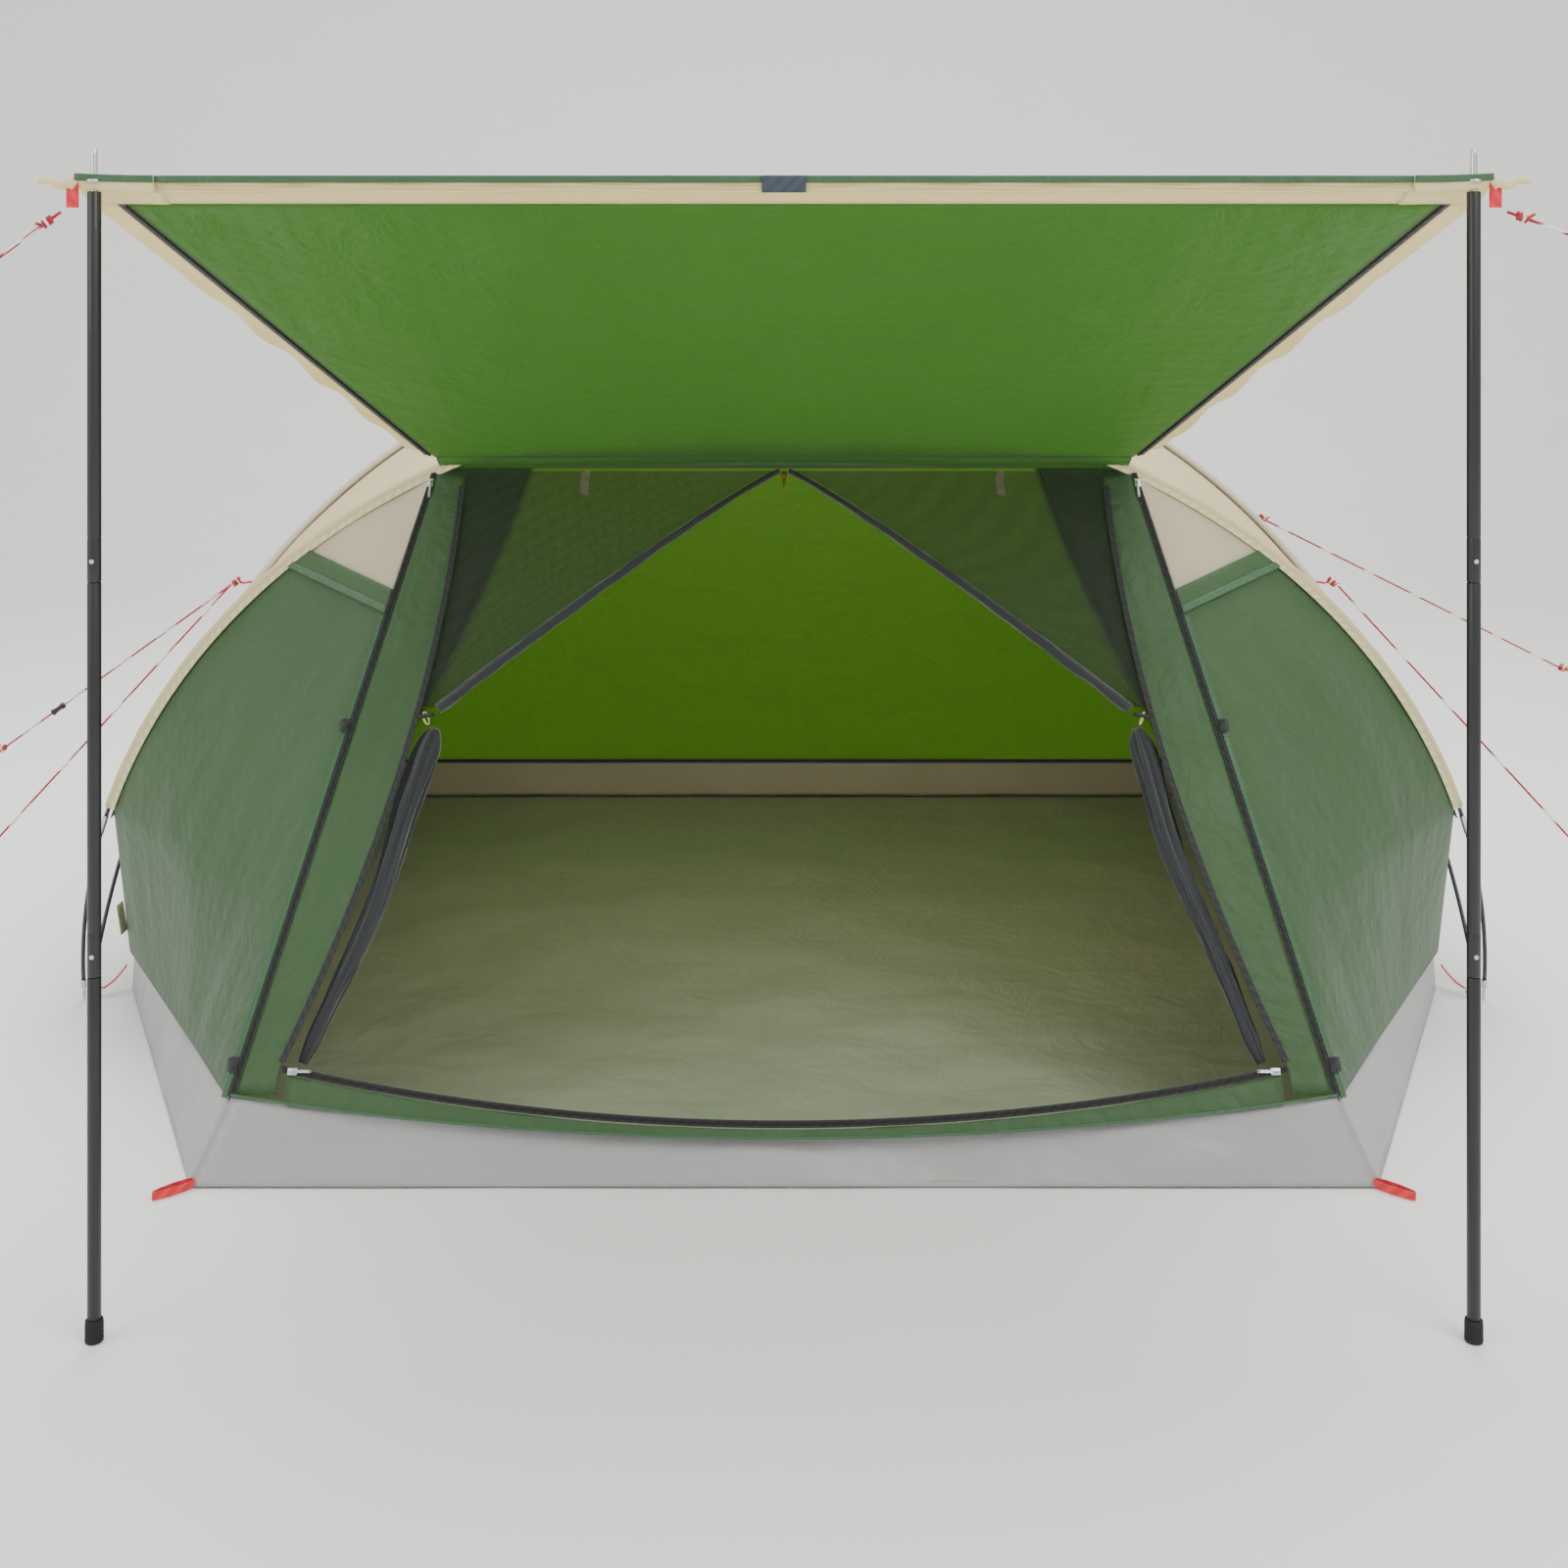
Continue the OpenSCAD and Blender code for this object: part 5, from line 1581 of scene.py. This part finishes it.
# ---------------------------------------------------------------- awning
@dataclass
class Awning:
    """Door panel raised as an awning, with its ribbed hem, patches, zips and storm flaps."""

    start: float = 0.032
    hem_depth: float = 0.066
    band_w: float = 0.014
    flap_w: float = 0.040
    tab_from_seam: float = 0.5105

    @property
    def body_end(self) -> float:
        """Distance from the seam to the hem."""
        return SIZE.awning_len - self.hem_depth

    @property
    def corner_half(self) -> float:
        """Half the length of the straight hem between the folding corners."""
        return SIZE.awning_edge(SIZE.awning_len) - 0.078

    def panel(self) -> None:
        """Raised door panel, and the short stretch that turns down into the door's top seam."""
        def shape(down: float, across: float) -> Vector:
            """Point of the upper face: slack between the tight edges."""
            v = self.start + (self.body_end - self.start) * down
            side = 2 * across - 1
            sag = 0.006 * (1 - side * side) * math.sin(math.pi * down)
            return SIZE.awning_point(side * (SIZE.awning_edge(v) - 0.001), v, AWNING_LIFT - sag)

        # The awning and its root take the green taffeta with painted backlight, lighter than the gores.
        panel = cloth("awning_cloth", shape, Finish.AWNING, 70, 90, Wrinkle(0.010, 3.4, 1.6, 121.0, 0.05))
        settle(panel, "awning", "green_cloth", "awning_panel")
        declare_sheet(panel)

        def root(down: float, across: float) -> Vector:
            """Point of the stretch from the seam to the panel."""
            v = 0.004 + (self.start - 0.004) * down
            u = (2 * across - 1) * (SIZE.awning_edge(v) - 0.004)
            hump = min(1.0, max(0.0, (0.4 - abs(u)) / 0.3))
            low = 0.002 + 0.0085 * hump
            return SIZE.awning_point(u, v, low + (AWNING_LIFT - low) * down ** 3)

        seam = cloth("awning_root", root, Finish.AWNING, 8, 90, Wrinkle(0.0012, 12.0, 5.0, 123.0, 0.3))
        settle(seam, "awning", "green_cloth")
        declare_sheet(seam)

    def hem(self) -> None:
        """Cream hem folded over three cord ribs, its green edge and the centre patch."""
        edge = SIZE.awning_point(0, SIZE.awning_len, AWNING_LIFT)
        half = self.corner_half

        def shape(down: float, across: float) -> Vector:
            """Point of the hem's upper face."""
            v = self.body_end + 0.001 + (self.hem_depth - 0.001) * down
            return SIZE.awning_point((2 * across - 1) * half, v, AWNING_LIFT + 0.0006)

        top = cloth("hem_cloth", shape, Finish.CREAM, 6, 100, Wrinkle(0.0015, 9.0, 5.0, 131.0, 0.2))
        settle(top, "awning", "cream_cloth", "awning_hem")
        declare_sheet(top)
        for k in range(3):
            path = [Vector((half * (2 * n / 80 - 1), edge.y - 0.001 + 0.0012 * math.sin(n * 0.9 + k),
                            edge.z - 0.006 - 0.0042 * k + 0.0008 * math.sin(n * 0.37 + 2 * k)))
                    for n in range(81)]
            rib = tube(f"hem_rib_{k}", path, 0.0024, Finish.CREAM, 12)
            settle(rib, "awning", "cream_cloth")

        def strip(down: float, across: float) -> Vector:
            """Point of the dark strip on the front edge."""
            return Vector((half * (2 * across - 1), edge.y - 0.0056, edge.z + 0.007 - 0.010 * down))

        front = cloth("edge_strip", strip, Finish.DARK, 4, 100, Wrinkle(0.0012, 9.0, 9.0, 133.0, 0.2))
        settle(front, "awning", "dark_trim", "awning_trim")
        declare_sheet(front)

        def patch(down: float, across: float) -> Vector:
            """Point of the blank patch in the middle of the edge."""
            return Vector((0.062 * (across - 0.5), edge.y - 0.0085, edge.z + 0.007 - 0.024 * down))

        label = cloth("blank_patch", patch, Finish.NAVY, 6, 12, Wrinkle(0.0006, 20.0, 20.0, 135.0, 0.3))
        settle(label, "awning", "dark_trim")
        declare_sheet(label)

    def sides(self) -> None:
        """Zip halves, their tabs and the slack storm flaps along the awning's sides."""
        up = (SIZE.awning_point(0, 0, 1) - SIZE.awning_point(0, 0, 0)).normalized()
        for side_name, side in SIDES.items():
            path = []
            for k in range(61):
                v = self.start + 0.010 + (self.body_end - self.start - 0.010) * k / 60
                x = side * (SIZE.awning_edge(v) + self.band_w / 2)
                path.append(SIZE.awning_point(x, v, AWNING_LIFT - 0.001))
            tape = ribbon(f"awning_zip_{side_name}", path, self.band_w, up, Finish.ZIP, 0.0014, stitched=True)
            settle(tape, "awning", "zip_tape", *(["zip_bands"] if side > 0 else []))
            coil = teeth(f"awning_zip_{side_name}_teeth",
                         [p - up * 0.0012 - Vector((side * 0.004, 0, 0)) for p in path], -up, Finish.NYLON)
            settle(coil, "awning", "zip_tape")
            v = self.tab_from_seam
            tab = [SIZE.awning_point(side * (SIZE.awning_edge(v) + 0.001 + 0.012 * k / 6), v,
                                     AWNING_LIFT + 0.0016 + 0.002 * math.sin(math.pi * k / 6))
                   for k in range(7)]
            strap = ribbon(f"awning_tab_{side_name}", tab, 0.024, up, Finish.ZIP, 0.0014)
            settle(strap, "awning", "zip_tape")

            def flap(down: float, across: float) -> Vector:
                """Point of the storm flap, which waves where nothing holds its free edge."""
                v = self.start + 0.040 + (self.body_end - self.start - 0.040) * down
                wide = self.flap_w * (0.5 + 0.5 * v / SIZE.awning_len)
                held = math.sin(math.pi * min(1, down * 1.3)) ** 0.5
                wave = 0.006 * across ** 1.5 * math.sin(down * 34 + side) * held
                return SIZE.awning_point(SIZE.awning_edge(v) + self.band_w + 0.001 + wide * across, v,
                                         AWNING_LIFT + 0.003 * across + wave)

            piece = cloth(f"storm_flap_{side_name}_cloth", mirrored(flap, side), Finish.CREAM, 110, 10,
                          Wrinkle(0.002, 12.0, 7.0, 141.0 + side, 0.2), 0.0012)
            settle(piece, "awning", "cream_cloth", f"storm_flap_{side_name}")
            declare_sheet(piece)

    def build(self) -> None:
        """Makes the awning."""
        self.panel()
        self.hem()
        self.sides()
        log.info("awning built")


# ---------------------------------------------------------------- support poles and corners
@dataclass
class SupportPoles:
    """Steel poles under the awning's corners, and the corner cloth that folds with them."""

    steel_d: float = 0.019
    spike_h: float = 0.062
    corner_out: float = 0.036
    joint_low: float = 0.317
    joint_high: float = 0.66

    @property
    def x(self) -> float:
        """Distance of each pole from the middle."""
        return SIZE.awning_edge(SIZE.awning_len) + 0.007

    @property
    def y(self) -> float:
        """Place of the poles along Y."""
        return SIZE.awning_point(0, SIZE.awning_len, AWNING_LIFT).y

    @property
    def top(self) -> float:
        """Height of the tubes' upper end."""
        return SIZE.awning_point(0, SIZE.awning_len, 0).z - 0.003

    def lathe(self, name: str, side: int, profile: Sequence[tuple[float, float]], finish: Finish,
              sides: int = 40) -> bpy.types.Object:
        """Turned or drawn piece on a pole's line.

        Args:
            name: the piece's name.
            side: -1 for the left pole and 1 for the right.
            profile: heights and radii from its lower end to its upper end.
            finish: its finish.
            sides: points round it.

        Returns:
            The piece.
        """
        points = [Vector((side * self.x + r * math.cos(2 * math.pi * k / sides),
                          self.y + r * math.sin(2 * math.pi * k / sides), z))
                  for z, r in profile for k in range(sides)]
        faces = [(i * sides + k, i * sides + (k + 1) % sides, (i + 1) * sides + (k + 1) % sides,
                  (i + 1) * sides + k) for i in range(len(profile) - 1) for k in range(sides)]
        faces += [tuple(range(sides - 1, -1, -1)),
                  tuple((len(profile) - 1) * sides + k for k in range(sides))]
        piece = mesh_object(name, points, faces, finish)
        piece.data.set_sharp_from_angle(angle=math.radians(32))
        return piece

    def tubes(self, side_name: str, side: int, body: str) -> None:
        """Three plugged tubes with rolled ends, the swaged spigots' shoulders and the spring buttons."""
        r = self.steel_d / 2
        low, high = self.joint_low * self.top, self.joint_high * self.top
        for node, first, last in (("low", 0.004, low), ("mid", low + 0.0004, high),
                                  ("high", high + 0.0004, self.top)):
            profile = [(first, r - 0.0014), (first + 0.0004, r - 0.0004), (first + 0.0014, r)]
            if node != "low":
                profile += [(first + 0.060, r), (first + 0.0615, r - 0.0004), (first + 0.063, r - 0.0004),
                            (first + 0.0645, r)]
            profile += [(last - 0.0014, r), (last - 0.0004, r - 0.0004), (last, r - 0.0014)]
            piece = self.lathe(f"steel_tube_{node}_{side_name}", side, profile, Finish.STEEL)
            settle(piece, body, "black_steel", f"pole_{node}_{side_name}")
        for n, z in enumerate((low + 0.030, high + 0.030)):
            place = Vector((side * self.x, self.y - r + 0.0006, z))
            path = [place, place - Vector((0, 0.0010, 0)), place - Vector((0, 0.0018, 0)),
                    place - Vector((0, 0.0022, 0))]
            button = tube(f"spring_button_{n}_{side_name}", path,
                          lambda share: 0.0034 * math.sqrt(max(0.04, 1 - share ** 3)), Finish.BRIGHT, 20)
            settle(button, body, "bright_metal")

    def ends(self, side_name: str, side: int, body: str) -> None:
        """Spike through the corner's eyelet, and the ribbed rubber foot."""
        r = self.steel_d / 2
        top = self.top
        spike = [(top - 0.030, r - 0.0014), (top - 0.0008, r - 0.0014), (top + 0.0002, 0.0054),
                 (top + 0.004, 0.0050), (top + self.spike_h - 0.010, 0.0048),
                 (top + self.spike_h - 0.007, 0.0044), (top + self.spike_h - 0.003, 0.0034),
                 (top + self.spike_h - 0.0006, 0.0022), (top + self.spike_h, 0.0010)]
        settle(self.lathe(f"spike_{side_name}", side, spike, Finish.BRIGHT), body, "bright_metal",
               f"pole_spike_{side_name}")
        eyelet = tube(f"eyelet_{side_name}",
                      ring_path(Vector((side * self.x, self.y, top + 0.0145)), 0.0092, Vector((1, 0, 0)),
                                Vector((0, 1, 0)), 1.0), 0.0028, Finish.BRIGHT, 12)
        settle(eyelet, body, "bright_metal")
        foot = [(0.0003, 0.0112), (0.0014, 0.0126), (0.0050, 0.0129)]
        for k in range(4):
            z = 0.0068 + 0.0052 * k
            foot += [(z, 0.0127), (z + 0.0008, 0.0119), (z + 0.0018, 0.0119), (z + 0.0026, 0.0127)]
        foot += [(0.0300, 0.0122), (0.0314, 0.0114), (0.0318, 0.0100)]
        settle(self.lathe(f"rubber_foot_{side_name}", side, foot, Finish.RUBBER), body, "black_rubber",
               f"pole_foot_{side_name}")

    def corner(self, side_name: str, side: int, body: str) -> None:
        """Cream corner patch, its turned-down edge, the dark strip on its front, tapered end and tie tab."""
        edge = SIZE.awning_point(0, SIZE.awning_len, AWNING_LIFT)
        inner = SIZE.awning_edge(SIZE.awning_len) - 0.0775
        outer = SIZE.awning_edge(SIZE.awning_len) + self.corner_out
        begin = SIZE.awning_len - 0.0655

        def top_face(down: float, across: float) -> Vector:
            """Point of the patch round the eyelet."""
            v = begin + (SIZE.awning_len + 0.003 - begin) * down
            rise = 0.0012 * math.sin(math.pi * across) + 0.004 * across * down
            return SIZE.awning_point(inner + (outer - inner) * across, v, AWNING_LIFT + rise)

        patch = cloth(f"corner_patch_{side_name}", mirrored(top_face, side), Finish.CREAM, 10, 16,
                      Wrinkle(0.0014, 14.0, 14.0, 151.0 + side, 0.15), 0.0024)
        settle(patch, body, "dark_trim", f"awning_corner_{side_name}")
        declare_sheet(patch)

        def turned(down: float, across: float) -> Vector:
            """Point of the edge turned down in front of the pole."""
            drop = 0.0060 - 0.023 * down
            pull = 0.010 * across ** 3 * down
            return Vector((inner + (outer - inner) * across,
                           edge.y - 0.0055 - 0.0015 * math.sin(math.pi * down),
                           edge.z + drop + pull))

        lip = cloth(f"corner_lip_{side_name}", mirrored(turned, side), Finish.CREAM, 10, 24,
                    Wrinkle(0.0018, 22.0, 12.0, 155.0 + side, 0.15), 0.0014)
        settle(lip, body, "cream_cloth")
        declare_sheet(lip)

        def band(down: float, across: float) -> Vector:
            """Point of the dark strip along the corner's front edge."""
            return Vector((inner + (outer - 0.004 - inner) * across, edge.y - 0.0085,
                           edge.z + 0.0072 - 0.010 * down + 0.003 * across ** 2))

        strip = cloth(f"corner_strip_{side_name}", mirrored(band, side), Finish.DARK, 4, 16,
                      Wrinkle(0.0006, 12.0, 12.0, 157.0 + side, 0.2), 0.0012)
        settle(strip, body, "dark_trim")
        declare_sheet(strip)
        start = Vector((side * (outer - 0.006), edge.y - 0.008, edge.z - 0.008))
        end = Vector((side * (outer + 0.046), edge.y - 0.008, edge.z))
        path = [mix(start, end, k / 20) + Vector((0, 0, 0.0022 * math.sin(k * 0.55))) for k in range(21)]

        def cone(share: float) -> float:
            """Radius of the flap's gathered end."""
            return 0.0066 - 0.0030 * share

        def creased(share: float, turn: float) -> float:
            """Creases of the gathered end."""
            return 0.12 * math.sin(5 * turn + 6 * share) + 0.06 * math.sin(9 * turn - 11 * share)

        end_piece = tube(f"corner_gather_{side_name}", path, cone, Finish.CREAM, 28, creased)
        settle(end_piece, body, "cream_cloth")
        tab = [Vector((side * (outer - 0.001), edge.y - 0.0062, edge.z - 0.004 - 0.034 * k / 12))
               for k in range(13)]
        tie = ribbon(f"corner_tab_{side_name}", tab, 0.018, Vector((0, -1, 0)), Finish.RED_TAPE, 0.0018,
                     stitched=True)
        settle(tie, body, "red_webbing")

    def build(self) -> None:
        """Makes both poles with their corners."""
        for side_name, side in SIDES.items():
            body = f"pole_{side_name}"
            self.tubes(side_name, side, body)
            self.ends(side_name, side, body)
            self.corner(side_name, side, body)
        log.info("support poles built")


# ---------------------------------------------------------------- studio
@dataclass
class Studio:
    """Pale sweep under and behind the tent, and soft lights."""

    floor_colour: str = "f4f4f2"

    def sweep(self) -> None:
        """Floor that curves up into a backdrop well behind the tent."""
        profile = [(-9.0, 0.0), (5.5, 0.0)]
        profile += [(5.5 + 2.5 * math.sin(a), 2.5 - 2.5 * math.cos(a))
                    for a in (math.radians(9 * k) for k in range(1, 11))]
        profile += [(8.0, 9.0)]
        points = [Vector((x, y, z - 0.0005)) for y, z in profile for x in (-12, 12)]
        faces = [(2 * i, 2 * i + 1, 2 * i + 3, 2 * i + 2) for i in range(len(profile) - 1)]
        material = new_material("matt_paper_sweep")
        place = add_node(material, "TexCoord").outputs["Object"]
        mottle = add_node(material, "TexNoise", links={"Vector": place}, Scale=3.0, Detail=3.0)
        tone = add_node(material, "Mix", {"data_type": "RGBA"}, {"Factor": mottle.outputs["Fac"]})
        tone.inputs["A"].default_value = linear(self.floor_colour)
        tone.inputs["B"].default_value = linear("f7f7f6")
        paper = add_node(material, "BsdfPrincipled", links={"Base Color": tone.outputs["Result"]},
                         Roughness=0.9)
        output(material, paper.outputs[0])
        mesh = bpy.data.meshes.new("sweep")
        mesh.from_pydata([tuple(p) for p in points], [], faces)
        mesh.materials.append(material)
        mesh.polygons.foreach_set("use_smooth", [True] * len(mesh.polygons))
        floor = bpy.data.objects.new("sweep", mesh)
        bpy.context.scene.collection.objects.link(floor)

    def lamp(self, name: str, place: Point, aim: Point, size: float, power: float) -> None:
        """Square soft lamp at place, turned to aim."""
        data = bpy.data.lights.new(name, "AREA")
        data.shape = "SQUARE"
        data.size = size
        data.energy = power
        lamp = bpy.data.objects.new(name, data)
        lamp.location = place
        lamp.rotation_euler = (Vector(aim) - Vector(place)).to_track_quat("-Z", "Y").to_euler()
        lamp.visible_camera = False
        bpy.context.scene.collection.objects.link(lamp)

    def build(self) -> None:
        """Makes the sweep, the lamps and the even light of the room."""
        self.sweep()
        self.lamp("key", (3.0, -4.5, 5.2), (0, 0, 0.6), 3.5, 230)
        self.lamp("fill", (-4.2, -3.5, 3.2), (0, 0.2, 0.6), 3.0, 90)
        self.lamp("top", (0, 1.2, 5.5), (0, 0.4, 0), 4.5, 300)
        self.lamp("inside", (0, 0.35, 1.2), (0, 1.4, 0.3), 1.0, 3.2)
        world = bpy.data.worlds.new("studio")
        world.use_nodes = True
        sky = world.node_tree.nodes["Background"]
        sky.inputs["Color"].default_value = (1.0, 1.0, 1.0, 1.0)
        sky.inputs["Strength"].default_value = 0.95
        bpy.context.scene.world = world
        log.info("studio built")


def main() -> None:
    """Builds the tent in order: camera, ropes, then the shelter from the ground up."""
    logging.basicConfig(level=logging.INFO, format="%(message)s")
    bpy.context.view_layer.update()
    add_camera()
    for part in (Ropes(), Ground(), Canopy(), Hoops(), Door(), Awning(), SupportPoles(), Studio()):
        part.build()
    for piece in sorted(bpy.context.scene.objects, key=lambda item: item.name):
        if piece.type == "MESH":
            log.info("%s: %d faces", piece.name, len(piece.data.polygons))


if __name__ == "__main__":
    main()
